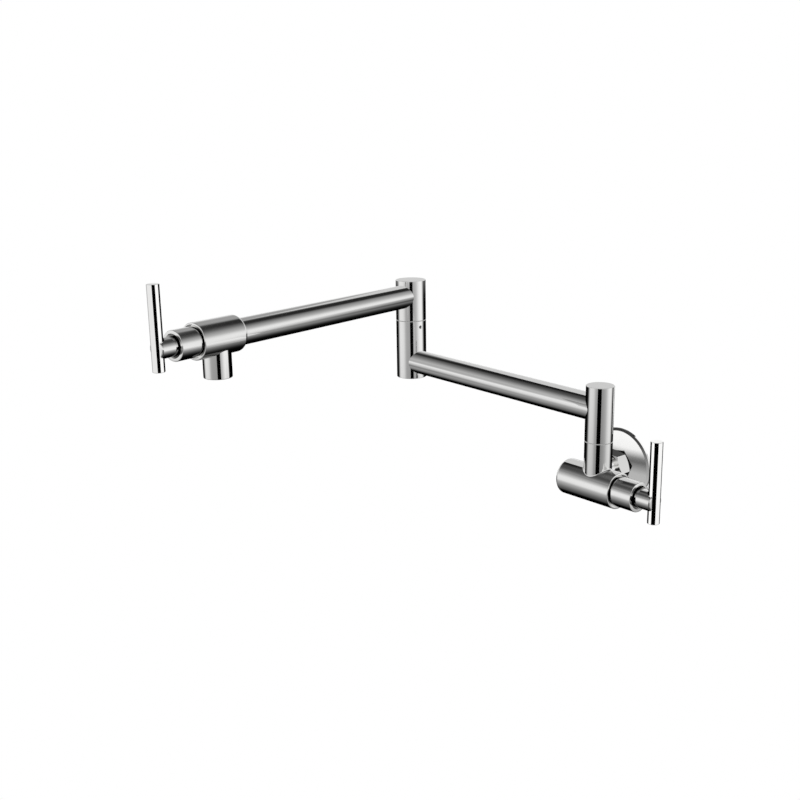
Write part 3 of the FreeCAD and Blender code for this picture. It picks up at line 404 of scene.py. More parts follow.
@dataclass(frozen=True)
class Lathe:
    """Turns round pieces about their own Z axis."""

    sides: int = 256
    same_place: float = 0.002 * MM
    round_profile: float = 0.5

    def turn(
        self, name: str, outline: Outline, rims: Sequence[Rim] = (), ring: bool = False
    ) -> bpy.types.Object:
        """Walk an outline: each step extrudes the end face and scales it.

        Args:
            name: the piece's name.
            outline: pairs of place along the axis and radius.
            rims: the round edges to bevel or round.
            ring: whether the outline comes back to its first point, round an open bore.

        Returns:
            The piece, standing on its own axis.
        """
        bpy.ops.object.select_all(action="DESELECT")
        start, radius = outline[0]
        bpy.ops.mesh.primitive_circle_add(
            vertices=self.sides, radius=radius, fill_type="NGON", location=(0, 0, start)
        )
        piece = bpy.context.active_object
        piece.name = piece.data.name = name
        bpy.ops.object.transform_apply(location=True, rotation=False, scale=False)
        bpy.ops.object.mode_set(mode="EDIT")
        bpy.ops.mesh.select_all(action="SELECT")
        for (here, radius), (there, next_radius) in zip(outline, outline[1:]):
            step = {"value": (0, 0, there - here)}
            bpy.ops.mesh.extrude_region_move(TRANSFORM_OT_translate=step)
            share = next_radius / radius
            bpy.ops.transform.resize(value=(share, share, 1), center_override=(0, 0, there))
        if ring:
            self.open_bore()
        bpy.ops.mesh.select_all(action="SELECT")
        bpy.ops.mesh.normals_make_consistent(inside=False)
        for rim in rims:
            self.ease(rim)
        bpy.ops.object.mode_set(mode="OBJECT")
        return piece

    def open_bore(self) -> None:
        """Take out the two faces that close the bore and weld its first and last ring."""
        bpy.ops.mesh.select_mode(type="FACE")
        bpy.ops.mesh.select_all(action="DESELECT")
        mesh = bpy.context.edit_object.data
        form = bmesh.from_edit_mesh(mesh)
        for face in form.faces:
            face.select_set(len(face.verts) == self.sides)
        bmesh.update_edit_mesh(mesh)
        bpy.ops.mesh.delete(type="ONLY_FACE")
        bpy.ops.mesh.select_mode(type="VERT")
        bpy.ops.mesh.select_all(action="SELECT")
        bpy.ops.mesh.remove_doubles(threshold=self.same_place)

    def ease(self, rim: Rim) -> None:
        """Bevel or round one rim."""
        def on_rim(point: Vector) -> bool:
            """Whether a corner lies on the rim."""
            return (
                abs(point.z - rim.place) < self.same_place
                and abs(math.hypot(point.x, point.y) - rim.radius) < self.same_place
            )

        select_edges(lambda one, other: on_rim(one) and on_rim(other))
        bpy.ops.mesh.bevel(
            offset=rim.size, segments=rim.steps, profile=self.round_profile, affect="EDGES"
        )

    def rod(self, radius: float, start: float, end: float) -> bpy.types.Object:
        """A plain round form, to cut or join with."""
        return self.turn("rod", [(start, radius), (end, radius)])


LATHE = Lathe()
FINE_LATHE = Lathe(sides=64)


class Workshop:
    crisp_from: float = math.radians(28)

    def __init__(self, rack: FinishRack) -> None:
        """Keep the rack of finishes.

        Args:
            rack: where the materials come from.
        """
        self.rack = rack

    def smooth(self, piece: bpy.types.Object) -> None:
        """Shade a piece smooth, with crisp edges and flat faces that stay flat."""
        take_up(piece)
        bpy.ops.object.shade_smooth_by_angle(angle=self.crisp_from)
        bpy.ops.object.modifier_add(type="WEIGHTED_NORMAL")
        modifier = piece.modifiers[-1]
        modifier.keep_sharp = True
        bpy.ops.object.modifier_apply(modifier=modifier.name)

    def hand_over(
        self, piece: bpy.types.Object, node: str, finish: Finish | None = None,
        mirrored: bool = True,
    ) -> bpy.types.Object:
        """Smooth a piece, dress it and let it stand for a CAD node.

        Args:
            piece: the finished mesh, in its place.
            node: the CAD node that it replaces.
            finish: its finish, where that isn't the one of the node's slot.
            mirrored: whether the other pieces show it in their polish.

        Returns:
            The piece.
        """
        self.smooth(piece)
        entry = next(part for part in frame["record"]["subparts"] if part["node"] == node)
        slot = entry["material_slot"]
        piece.name = piece.data.name = node + "_shown"
        piece.data.materials.clear()
        piece.data.materials.append(self.rack.material(finish or FINISH_OF_SLOT[slot]))
        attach(piece, frame["nodes"][node]["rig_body"])
        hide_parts(node)
        piece.visible_glossy = mirrored
        log.info("%-28s %6d faces, %s", piece.name, len(piece.data.polygons), slot)
        return piece


# ---------------------------------------------------------------------------------------
# Wall connection
# ---------------------------------------------------------------------------------------

@dataclass
class WallConnection:
    """The spun flange, the hexagon union nut and the neck between nut and valve."""

    shop: Workshop
    flange_radius: float = 35 * MM
    flange_bore: float = 10.5 * MM
    rim_height: float = 3.6 * MM
    face_height: float = 4.8 * MM
    sheet: float = 1.4 * MM
    rim_bevel: float = 1.7 * MM
    nut_across_flats: float = 28 * MM
    nut_vertex_angle: float = 52.1
    nut_back: float = 4.8 * MM
    nut_front: float = 18.1 * MM
    nut_lip: float = 2 * MM
    nut_thread: float = 10.25 * MM
    nut_bore: float = 8.3 * MM
    nut_bevel_drop: float = 1.6 * MM
    nut_bevel_reach: float = 2.8 * MM
    nut_edge: float = 0.35 * MM
    nut_edge_steps: int = 4
    neck_radius: float = 8 * MM
    neck_bore: float = 5.5 * MM
    neck_lip_radius: float = 9.8 * MM
    neck_back: float = 14.1 * MM
    neck_end: float = 36 * MM

    def build(self) -> None:
        """Build and dress the three pieces."""
        where = seat(Vector((0, 0, 0)), ROOM, UP)
        self.flange(where)
        self.nut(where)
        self.neck(where)

    def flange(self, where: Matrix) -> None:
        """The shallow cone of the cover plate with its rolled rim."""
        piece = LATHE.turn("flange", [
            (self.face_height - self.sheet, self.flange_bore),
            (self.face_height, self.flange_bore),
            (self.rim_height, self.flange_radius),
            (0, self.flange_radius),
            (0, self.flange_radius - self.sheet),
            (self.rim_height - self.sheet, self.flange_radius - self.sheet),
            (self.face_height - self.sheet, self.flange_bore),
        ], [Rim(self.rim_height, self.flange_radius, self.rim_bevel)], ring=True)
        self.shop.hand_over(place(piece, where), "wall_flange", PLATED_FLANGE, mirrored=False)

    def nut(self, where: Matrix) -> None:
        """The hexagon, its corners taken down by a cone at each end, then bored."""
        flat_radius = self.nut_across_flats / 2
        corner_radius = flat_radius / math.cos(math.pi / 6)
        hexagon = Lathe(sides=6).turn("hexagon", [
            (self.nut_back, corner_radius), (self.nut_front, corner_radius),
        ])
        take_up(hexagon)
        bpy.ops.object.mode_set(mode="EDIT")
        select_edges(lambda one, other: abs(one.z - other.z) > self.nut_lip)
        bpy.ops.mesh.bevel(
            offset=self.nut_edge, segments=self.nut_edge_steps,
            profile=LATHE.round_profile, affect="EDGES",
        )
        bpy.ops.object.mode_set(mode="OBJECT")
        turned = Matrix.Rotation(self.first_corner(), 4, "Z")
        place(hexagon, turned)
        widest = flat_radius + self.nut_bevel_reach
        blank = LATHE.turn("nut", [
            (self.nut_back, flat_radius), (self.nut_back + self.nut_bevel_drop, widest),
            (self.nut_front - self.nut_bevel_drop, widest), (self.nut_front, flat_radius),
        ])
        combine(blank, hexagon, Join.TRIM)
        inner_face = self.nut_front - self.nut_lip
        combine(blank, LATHE.turn("bore", [
            (self.nut_back - MM, self.nut_thread), (inner_face, self.nut_thread),
            (inner_face, self.nut_bore), (self.nut_front + MM, self.nut_bore),
        ]), Join.CUT)
        self.shop.hand_over(place(blank, where), "union_nut", mirrored=False)

    def first_corner(self) -> float:
        """The turn, about the nut's own axis, that points a corner where it should."""
        angle = math.radians(self.nut_vertex_angle)
        corner = Vector((math.cos(angle), 0, math.sin(angle)))
        own = seat(Vector((0, 0, 0)), ROOM, UP).inverted() @ corner
        circle_start = math.pi / 2
        return math.atan2(own.y, own.x) - circle_start

    def neck(self, where: Matrix) -> None:
        """The tailpiece that shows between the nut and the valve body."""
        lip_front = self.nut_front - self.nut_lip
        piece = LATHE.turn("neck", [
            (self.neck_back, self.neck_bore), (self.neck_back, self.neck_lip_radius),
            (lip_front, self.neck_lip_radius), (lip_front, self.neck_radius),
            (self.neck_end, self.neck_radius), (self.neck_end, self.neck_bore),
            (self.neck_back, self.neck_bore),
        ], ring=True)
        self.shop.hand_over(place(piece, where), "inlet_tailpiece", mirrored=False)


# ---------------------------------------------------------------------------------------
# Valves and their handles
# ---------------------------------------------------------------------------------------

@dataclass
class Valve:
    """What both valves share: bored barrel, collar, hub and cross bar.

    Places run along the valve from its middle. Those of the collar and the handle run from the
    barrel's front rim.
    """

    shop: Workshop
    side: str
    middle: Vector
    along: Vector
    tail: float
    front: float
    tail_round: float
    barrel_radius: float = 16.25 * MM
    rim_bevel: float = 0.7 * MM
    recess_radius: float = 14.8 * MM
    recess_depth: float = 3 * MM
    thread_radius: float = 10.45 * MM
    thread_length: float = 11 * MM
    cartridge_radius: float = 9.5 * MM
    cartridge_depth: float = 36 * MM
    chamber_radius: float = 6 * MM
    collar_radius: float = 13.3 * MM
    collar_back: float = -2.7 * MM
    collar_skirt: float = 11.7 * MM
    collar_skirt_floor: float = -0.3 * MM
    collar_thread: float = 9.55 * MM
    collar_web: tuple[float, float] = (10.3 * MM, 12.7 * MM)
    collar_web_bore: float = 6 * MM
    collar_reach: float = 21.9 * MM
    collar_mouth: float = 10.5 * MM
    hub_radius: float = 8.65 * MM
    hub_back: float = 15 * MM
    hub_bore: float = 3.55 * MM
    hub_bore_end: float = 31 * MM
    hub_nose_past_bar: float = 1.4 * MM
    hub_nose_round: float = 1.8 * MM
    saddle_gap: float = 0.03 * MM
    bar_place: float = 37.7 * MM
    bar_radius: float = 5.3 * MM
    bar_above: float = 53.6 * MM
    bar_below: float = 18.9 * MM
    bar_bevel: float = 0.5 * MM

    def seat_at(self, distance: float) -> Matrix:
        """The seat of a piece whose own origin is a distance along the valve."""
        return seat(self.middle + self.along * distance, self.along, UP)

    def barrel(self, bore_end: float, bore_end_radius: float, past: Outline) -> bpy.types.Object:
        """The barrel with its recess and stepped bore.

        Args:
            bore_end: where the water chamber behind the cartridge ends.
            bore_end_radius: the chamber's radius.
            past: further points of the bore, beyond that end.

        Returns:
            The barrel in its place, still to be joined with what grows from it.
        """
        step = self.front - self.recess_depth
        thread_end = step - self.thread_length
        seat_place = self.front - self.cartridge_depth
        piece = LATHE.turn("barrel", [
            (-self.tail, self.barrel_radius), (self.front, self.barrel_radius),
            (self.front, self.recess_radius), (step, self.recess_radius),
            (step, self.thread_radius), (thread_end, self.thread_radius),
            (thread_end, self.cartridge_radius), (seat_place, self.cartridge_radius),
            (seat_place, bore_end_radius), (bore_end, bore_end_radius), *past,
        ], [
            Rim(-self.tail, self.barrel_radius, self.tail_round, 10),
            Rim(self.front, self.barrel_radius, self.rim_bevel, 2),
        ])
        return place(piece, self.seat_at(0))

    def collar(self) -> None:
        """The bonnet sleeve with its open mouth."""
        web_back, web_front = self.collar_web
        piece = LATHE.turn("collar", [
            (self.collar_back, self.collar_skirt), (self.collar_back, self.collar_radius),
            (self.collar_reach, self.collar_radius), (self.collar_reach, self.collar_mouth),
            (web_front, self.collar_mouth), (web_front, self.collar_web_bore),
            (web_back, self.collar_web_bore), (web_back, self.collar_thread),
            (self.collar_skirt_floor, self.collar_thread),
            (self.collar_skirt_floor, self.collar_skirt), (self.collar_back, self.collar_skirt),
        ], [Rim(self.collar_reach, self.collar_radius, self.rim_bevel, 2)], ring=True)
        self.shop.hand_over(place(piece, self.seat_at(self.front)), self.side + "_collar")

    def hub(self) -> None:
        """The hub with the saddle that the cross bar lies in."""
        nose = self.bar_place + self.hub_nose_past_bar
        piece = LATHE.turn("hub", [
            (self.hub_bore_end, self.hub_bore), (self.hub_back, self.hub_bore),
            (self.hub_back, self.hub_radius), (nose, self.hub_radius),
        ], [Rim(nose, self.hub_radius, self.hub_nose_round, 5)])
        place(piece, self.seat_at(self.front))
        reach = 2 * self.hub_radius
        saddle = LATHE.rod(self.bar_radius + self.saddle_gap, -reach, reach)
        combine(piece, place(saddle, self.bar_seat()), Join.CUT)
        self.shop.hand_over(piece, self.side + "_handle_hub")

    def bar_seat(self) -> Matrix:
        """The seat of the cross bar, upright through the hub's nose."""
        return seat(self.middle + self.along * (self.front + self.bar_place), UP, self.along)

    def bar(self) -> None:
        """The upright cross bar with bevelled ends."""
        piece = LATHE.turn("bar", [
            (-self.bar_below, self.bar_radius), (self.bar_above, self.bar_radius),
        ], [
            Rim(end, self.bar_radius, self.bar_bevel, 2) for end in (-self.bar_below, self.bar_above)
        ])
        self.shop.hand_over(
            place(piece, self.bar_seat()), self.side + "_handle_bar", mirrored=False
        )

    def build_handle(self) -> None:
        """Build and dress the collar, the hub and the bar."""
        self.collar()
        self.hub()
        self.bar()


@dataclass
class InletValve(Valve):
    """The valve at the wall, with the riser on top and the inlet boss behind."""

    tail_wall: float = 4 * MM
    riser_radius: float = 12.4 * MM
    riser_root: float = 1.6 * MM
    riser_socket: float = 10.05 * MM
    riser_socket_depth: float = 9 * MM
    riser_bore: float = 6 * MM
    root_steps: int = 8
    root_row: float = 0.1 * MM
    root_dip: float = 0.05 * MM
    boss_radius: float = 10.5 * MM
    boss_reach: float = 34 * MM
    boss_socket: float = 8.05 * MM
    boss_socket_depth: float = 9 * MM

    def build(self) -> None:
        """Build and dress the valve body and its handle."""
        piece = self.barrel(self.tail_wall - self.tail, self.chamber_radius, [])
        combine(piece, self.riser(), Join.ADD)
        combine(piece, self.boss(), Join.ADD)
        self.shop.hand_over(piece, "inlet_valve_body")
        self.build_handle()

    def riser(self) -> bpy.types.Object:
        """The lower half of the riser, flared at its root onto the barrel."""
        foot = self.cartridge_radius + self.root_row
        top = level("inlet_valve_body")[1]
        socket_floor = top - self.riser_socket_depth
        rows = [foot + (index + 1) * self.root_row for index in range(self.root_steps + 1)]
        piece = LATHE.turn("riser", [
            (foot, self.riser_radius), *[(row, self.riser_radius) for row in rows],
            (top, self.riser_radius), (top, self.riser_socket),
            (socket_floor, self.riser_socket), (socket_floor, self.riser_bore),
            (self.barrel_radius, self.riser_bore),
        ])
        for corner in piece.data.vertices:
            index = round((corner.co.z - foot) / self.root_row)
            if index > self.root_steps + 1:
                continue
            turned = math.atan2(corner.co.y, corner.co.x)
            share = (index - 1) / self.root_steps
            point = self.root_point(turned, 1 - max(share, 0))
            corner.co = (point.x, point.y, point.z if index else foot)
        return place(piece, seat(self.middle, UP, self.along))

    def root_point(self, turned: float, share: float) -> Vector:
        """A point of the rolling fillet between the riser and the barrel.

        Args:
            turned: the angle round the riser, from the valve's direction.
            share: 0 where the fillet leaves the riser, 1 where it meets the barrel.

        Returns:
            The point, with X along the valve and Z up the riser.
        """
        out = self.riser_radius + self.riser_root
        around = self.barrel_radius - self.root_dip + self.riser_root
        across = out * math.sin(turned)
        centre = Vector((out * math.cos(turned), across, math.sqrt(around**2 - across**2)))
        to_riser = Vector((-math.cos(turned), -math.sin(turned), 0))
        to_barrel = -Vector((0, centre.y, centre.z)).normalized()
        return centre + self.riser_root * to_riser.slerp(to_barrel, share)

    def boss(self) -> bpy.types.Object:
        """The round boss towards the wall, with the socket of the tailpiece."""
        floor = self.boss_reach - self.boss_socket_depth
        piece = LATHE.turn("boss", [
            (self.cartridge_radius, self.boss_radius), (self.boss_reach, self.boss_radius),
            (self.boss_reach, self.boss_socket), (floor, self.boss_socket),
        ])
        origin = Vector((0, self.middle.y, self.middle.z))
        return place(piece, seat(origin, -ROOM, UP))


@dataclass
class OutletValve(Valve):
    """The valve at the end of the arms, over the spout."""

    tube_socket: float = 12.05 * MM
    tube_socket_depth: float = 10 * MM
    spout_radius: float = 12.6 * MM
    spout_bevel: float = 0.6 * MM
    aerator_socket: float = 10.85 * MM
    aerator_roof: float = 11.4 * MM
    spout_bore: float = 6 * MM

    def build(self) -> None:
        """Build and dress the valve body and its handle."""
        socket_floor = self.tube_socket_depth - self.tail
        piece = self.barrel(socket_floor, self.chamber_radius, [
            (socket_floor, self.tube_socket), (-self.tail - MM, self.tube_socket),
        ])
        combine(piece, self.spout(), Join.ADD)
        self.shop.hand_over(piece, "outlet_valve_body")
        self.build_handle()

    def spout(self) -> bpy.types.Object:
        """The short spout with the aerator's socket in its end."""
        length = self.middle.z - level("outlet_valve_body")[0]
        roof = length - self.aerator_roof
        piece = LATHE.turn("spout", [
            (self.cartridge_radius, self.spout_radius), (length, self.spout_radius),
            (length, self.aerator_socket), (roof, self.aerator_socket),
            (roof, self.spout_bore), (self.barrel_radius, self.spout_bore),
        ], [Rim(length, self.spout_radius, self.spout_bevel, 3)])
        return place(piece, seat(self.middle, DOWN, self.along))


# ---------------------------------------------------------------------------------------
# Swivel posts and arm tubes
# ---------------------------------------------------------------------------------------

@dataclass
class SwivelPost:
    """One half of an upright post: a barrel bored from one end, with an arm's tenon.

    The barrel stands on the post's axis. Its blind end is bevelled, and its open end meets
    the slide washer.
    """

    shop: Workshop
    node: str
    axis: Vector
    arm: Vector
    arm_height: float
    radius: float
    bore: float
    opens_down: bool
    end_wall: float = 5 * MM
    end_bevel: float = 0.5 * MM
    tenon_radius: float = 10.45 * MM
    tenon_reach: float = 8 * MM
    tenon_bore: float = 7.5 * MM
    screw_height: float | None = None
    screw_radius: float = 1.55 * MM
    screw_mouth_bevel: float = 0.25 * MM

    def build(self) -> None:
        """Build and dress the half post."""
        low, high = level(self.node)
        blind, mouth = (high, low) if self.opens_down else (low, high)
        floor = blind - self.end_wall if self.opens_down else blind + self.end_wall
        piece = LATHE.turn("post", [
            (blind, self.radius), (mouth, self.radius), (mouth, self.bore), (floor, self.bore),
        ], [Rim(blind, self.radius, self.end_bevel, 2)])
        base = Vector((self.axis.x, self.axis.y, 0))
        place(piece, seat(base, UP, self.arm))
        arm_seat = seat(base + UP * self.arm_height, self.arm, UP)
        reach = self.radius + self.tenon_reach
        tenon = LATHE.rod(self.tenon_radius, self.radius / 2, reach)
        combine(piece, place(tenon, arm_seat), Join.ADD)
        combine(piece, place(LATHE.rod(self.bore, floor, mouth), seat(base, UP, self.arm)), Join.CUT)
        combine(piece, place(LATHE.rod(self.tenon_bore, 0, reach + MM), arm_seat), Join.CUT)
        if self.screw_height is not None:
            self.drill(piece, base)
        self.shop.hand_over(piece, self.node, mirrored=False)

    def drill(self, piece: bpy.types.Object, base: Vector) -> None:
        """Drill the set screw's hole under the arm's side, its mouth slightly countersunk."""
        mouth = self.radius - self.screw_mouth_bevel
        wide = self.screw_radius + self.screw_mouth_bevel + MM
        drill = FINE_LATHE.turn("drill", [
            (self.bore / 2, self.screw_radius), (mouth, self.screw_radius),
            (mouth + self.screw_mouth_bevel + MM, wide),
        ])
        where = seat(base + UP * self.screw_height, self.arm, UP)
        combine(piece, place(drill, where), Join.CUT)


@dataclass
class ArmTube:
    """A straight tube between two posts, its ends hollowed to sit round them."""

    shop: Workshop
    node: str
    start: Vector
    arm: Vector
    length: float
    start_radius: float
    end_radius: float | None
    radius: float = 12 * MM
    wall: float = 1.5 * MM
    seam: float = 0.05 * MM

    def build(self) -> None:
        """Build and dress the tube."""
        inner = self.radius - self.wall
        near_start = self.start_radius + self.radius / 2
        near_end = self.length - near_start
        piece = LATHE.turn("tube", [
            (0, inner), (0, self.radius), (near_start, self.radius), (near_end, self.radius),
            (self.length, self.radius), (self.length, inner), (0, inner),
        ], ring=True)
        place(piece, seat(self.start, self.arm, UP))
        self.cope(piece, self.start, self.start_radius)
        if self.end_radius is not None:
            self.cope(piece, self.start + self.arm * self.length, self.end_radius)
        self.shop.hand_over(piece, self.node, mirrored=False)

    def cope(self, piece: bpy.types.Object, centre: Vector, post_radius: float) -> None:
        """Hollow one end to the post that it meets."""
        half = 2 * self.radius
        cutter = LATHE.rod(post_radius + self.seam, -half, half)
        combine(piece, place(cutter, seat(centre, UP, self.arm)), Join.CUT)


@dataclass
class SlideWasher:
    """The thin washer that shows as the seam of a post."""

    shop: Workshop
    node: str
    axis: Vector
    bore: float = 9.05 * MM
    edge_round: float = 0.15 * MM

    def build(self) -> None:
        """Build and dress the washer."""
        low, high = level(self.node)
        box_low, box_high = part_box(self.node)
        radius = (box_high.x - box_low.x) / 2
        piece = LATHE.turn("washer", [
            (low, self.bore), (low, radius), (high, radius), (high, self.bore), (low, self.bore),
        ], [Rim(low, radius, self.edge_round, 2), Rim(high, radius, self.edge_round, 2)], ring=True)
        base = Vector((self.axis.x, self.axis.y, 0))
        standing = place(piece, seat(base, UP, Vector((1, 0, 0))))
        self.shop.hand_over(standing, self.node, mirrored=False)


# ---------------------------------------------------------------------------------------
# Aerator
# ---------------------------------------------------------------------------------------

@dataclass
class Aerator:
    """The threaded ring in the spout's end and the honeycomb insert that it holds."""

    shop: Workshop
    middle: Vector
    radius: float = 10.8 * MM
    wall: float = 1.6 * MM
    lip: float = 1 * MM
    lip_bevel: float = 0.4 * MM
    slot_width: float = 2.2 * MM
    slot_depth: float = 1 * MM
    insert_height: float = 6 * MM
    cell_rings: int = 4
    cell_pitch: float = 1.72 * MM
    cell_radius: float = 0.82 * MM

    def build(self) -> None:
        """Build and dress the ring and the insert."""
        self.ring()
        self.insert()

    def seat(self) -> Matrix:
        """The seat on the spout's axis, with height as its own Z."""
        return seat(Vector((self.middle.x, self.middle.y, 0)), UP, Vector((1, 0, 0)))

    def ring(self) -> None:
        """The ring, with its inner lip and two key slots."""
        foot, top = level("aerator_housing")
        inner = self.radius - self.wall
        piece = LATHE.turn("aerator", [
            (foot, inner - self.lip), (foot, self.radius), (top, self.radius), (top, inner),
            (foot + self.lip, inner), (foot + self.lip, inner - self.lip),
            (foot, inner - self.lip),
        ], [Rim(foot, self.radius, self.lip_bevel, 2)], ring=True)
        bpy.ops.object.select_all(action="DESELECT")
        bpy.ops.mesh.primitive_cube_add(size=1, location=(0, 0, foot))
        key = bpy.context.active_object
        key.scale = (3 * self.radius, self.slot_width, 2 * self.slot_depth)
        bpy.ops.object.transform_apply(location=True, rotation=True, scale=True)
        combine(piece, key, Join.CUT)
        self.shop.hand_over(place(piece, self.seat()), "aerator_housing")

    def insert(self) -> None:
        """The moulded insert, its face pierced by a honeycomb of cells."""
        foot, top = level("aerator_insert")
        radius = self.radius - self.wall - self.lip / 2
        piece = LATHE.turn("insert", [(foot, radius), (top, radius)])
        cells = self.cells(foot - MM, foot + self.insert_height / 2)
        combine(piece, cells, Join.CUT)
        self.shop.hand_over(place(piece, self.seat()), "aerator_insert")

    def cells(self, start: float, end: float) -> bpy.types.Object:
        """All the cells as one form, set out in rings of a honeycomb."""
        made = []
        for row in range(-self.cell_rings, self.cell_rings + 1):
            count = 2 * self.cell_rings + 1 - abs(row)
            for column in range(count):
                across = (column - (count - 1) / 2) * self.cell_pitch
                up = row * self.cell_pitch * math.sqrt(3) / 2
                cell = Lathe(sides=6).rod(self.cell_radius, start, end)
                made.append(place(cell, Matrix.Translation((across, up, 0))))
        bpy.ops.object.select_all(action="DESELECT")
        for cell in made:
            cell.select_set(True)
        bpy.context.view_layer.objects.active = made[0]
        bpy.ops.object.join()
        return bpy.context.active_object


# ---------------------------------------------------------------------------------------
# Studio
# ---------------------------------------------------------------------------------------

@dataclass(frozen=True)
class Glow:
    """How bright a studio card is, and which mirrored light sees it.

    The tones are pairs of height in millimetres and brightness. A mirrored ray sees the card's
    front where its length is within reach, in metres, and passes through it elsewhere.
    """

    tones: Outline
    reach: tuple[float, float] = (0, 10)

    def put_on(self, piece: bpy.types.Object) -> None:
        """Make a card glow, and hide it from all but mirrored light."""
        material = bpy.data.materials.new(piece.name)
        material.use_nodes = True
        sheet = NodeSheet(material.node_tree)
        place = sheet.add("ShaderNodeTexCoord").outputs["Object"]
        height = sheet.add("ShaderNodeSeparateXYZ", {0: place}).outputs["Z"]
        strength = sheet.ramp(height, self.tones, MM)
        length = sheet.add("ShaderNodeLightPath").outputs["Ray Length"]
        nearest, furthest = self.reach
        within = sheet.math(
            "MULTIPLY", sheet.math("GREATER_THAN", length, nearest),
            sheet.math("LESS_THAN", length, furthest),
        )
        behind = sheet.add("ShaderNodeNewGeometry").outputs["Backfacing"]
        seen = sheet.math("MULTIPLY", within, sheet.math("SUBTRACT", 1, behind))
        glow = sheet.add("ShaderNodeEmission", {"Color": (1, 1, 1, 1), "Strength": strength})
        clear = sheet.add("ShaderNodeBsdfTransparent")
        mixed = sheet.add("ShaderNodeMixShader", {
            0: seen, 1: clear.outputs["BSDF"], 2: glow.outputs["Emission"],
        })
        sheet.add("ShaderNodeOutputMaterial", {"Surface": mixed.outputs["Shader"]})
        piece.data.materials.clear()
        piece.data.materials.append(material)
        piece.visible_camera = False
        piece.visible_diffuse = False
        piece.visible_shadow = False


def even(brightness: float) -> Outline:
    """Tones of one brightness at every height."""
    return ((-1000, brightness), (1000, brightness))


@dataclass
class StudioCard:
    """A flat upright card, which only the chrome mirrors. It faces a bearing in degrees."""

    name: str
    middle: tuple[float, float, float]
    size: tuple[float, float]
    faces: float
    glow: Glow

    def build(self) -> None:
        """Stand the card up, its front towards its bearing."""
        bpy.ops.object.select_all(action="DESELECT")
        bpy.ops.mesh.primitive_plane_add(size=1)
        card = bpy.context.active_object
        card.name = self.name
        turn = math.radians(self.faces)
        facing = Vector((math.cos(turn), math.sin(turn), 0))
        matrix = Matrix((UP.cross(facing), UP, facing)).transposed().to_4x4()
        matrix.translation = Vector(self.middle)
        card.matrix_world = matrix @ Matrix.Diagonal((*self.size, 1, 1))
        bpy.ops.object.transform_apply(location=True, rotation=True, scale=True)
        self.glow.put_on(card)


@dataclass
class NutShade:
    """A black hexagon inside the nut's back end, which only the flange mirrors beside it.

    The corner angle is in degrees, from straight up.
    """

    depth: float = 6.8 * MM
    corner_radius: float = 16.2 * MM
    corner_angle: float = 7.9
    glow: Glow = Glow(even(0), (0, 12 * MM))

    def build(self) -> None:
        """Build the hexagon, its front towards the flange."""
        bpy.ops.object.select_all(action="DESELECT")
        bpy.ops.mesh.primitive_circle_add(
            vertices=6, radius=self.corner_radius, fill_type="NGON", location=(0, 0, 0)
        )
        shade = bpy.context.active_object
        shade.name = "nut_shade"
        turned = Matrix.Rotation(-math.radians(self.corner_angle), 4, UP)
        place(shade, seat(ROOM * self.depth, -ROOM, UP) @ turned)
        if shade.data.polygons[0].normal.dot(ROOM) > 0:
            shade.data.flip_normals()
        self.glow.put_on(shade)


@dataclass
class RimShade:
    """A ring close to the bevel of the flange's rim, which only that bevel mirrors.

    It is dark at the top and lighter towards the foot.
    """

    rim_radius: float = 35 * MM
    rim_height: float = 3.6 * MM
    bevel: float = 1.7 * MM
    clearance: float = 0.7 * MM
    margin: float = 1.4 * MM
    sides: int = 96
    glow: Glow = Glow(
        ((-36, 0.6), (-12, 0.5), (2, 0.36), (14, 0.2), (24, 0.06), (38, 0.03)), (0, 5 * MM)
    )

    def build(self) -> None:
        """Build the ring, its front towards the bevel."""
        bpy.ops.object.select_all(action="DESELECT")
        wide = self.rim_radius + self.clearance + self.margin
        depth = self.bevel + 2 * self.margin
        bpy.ops.mesh.primitive_cone_add(
            vertices=self.sides, radius1=wide, radius2=wide - depth, depth=depth,
            end_fill_type="NOTHING", location=(0, 0, 0),
        )
        shade = bpy.context.active_object
        shade.name = "rim_shade"
        middle = self.rim_height - self.bevel / 2 + self.clearance
        place(shade, seat(ROOM * middle, ROOM, UP))
        first = shade.data.polygons[0]
        if first.normal.dot(first.center) > 0:
            shade.data.flip_normals()
        self.glow.put_on(shade)


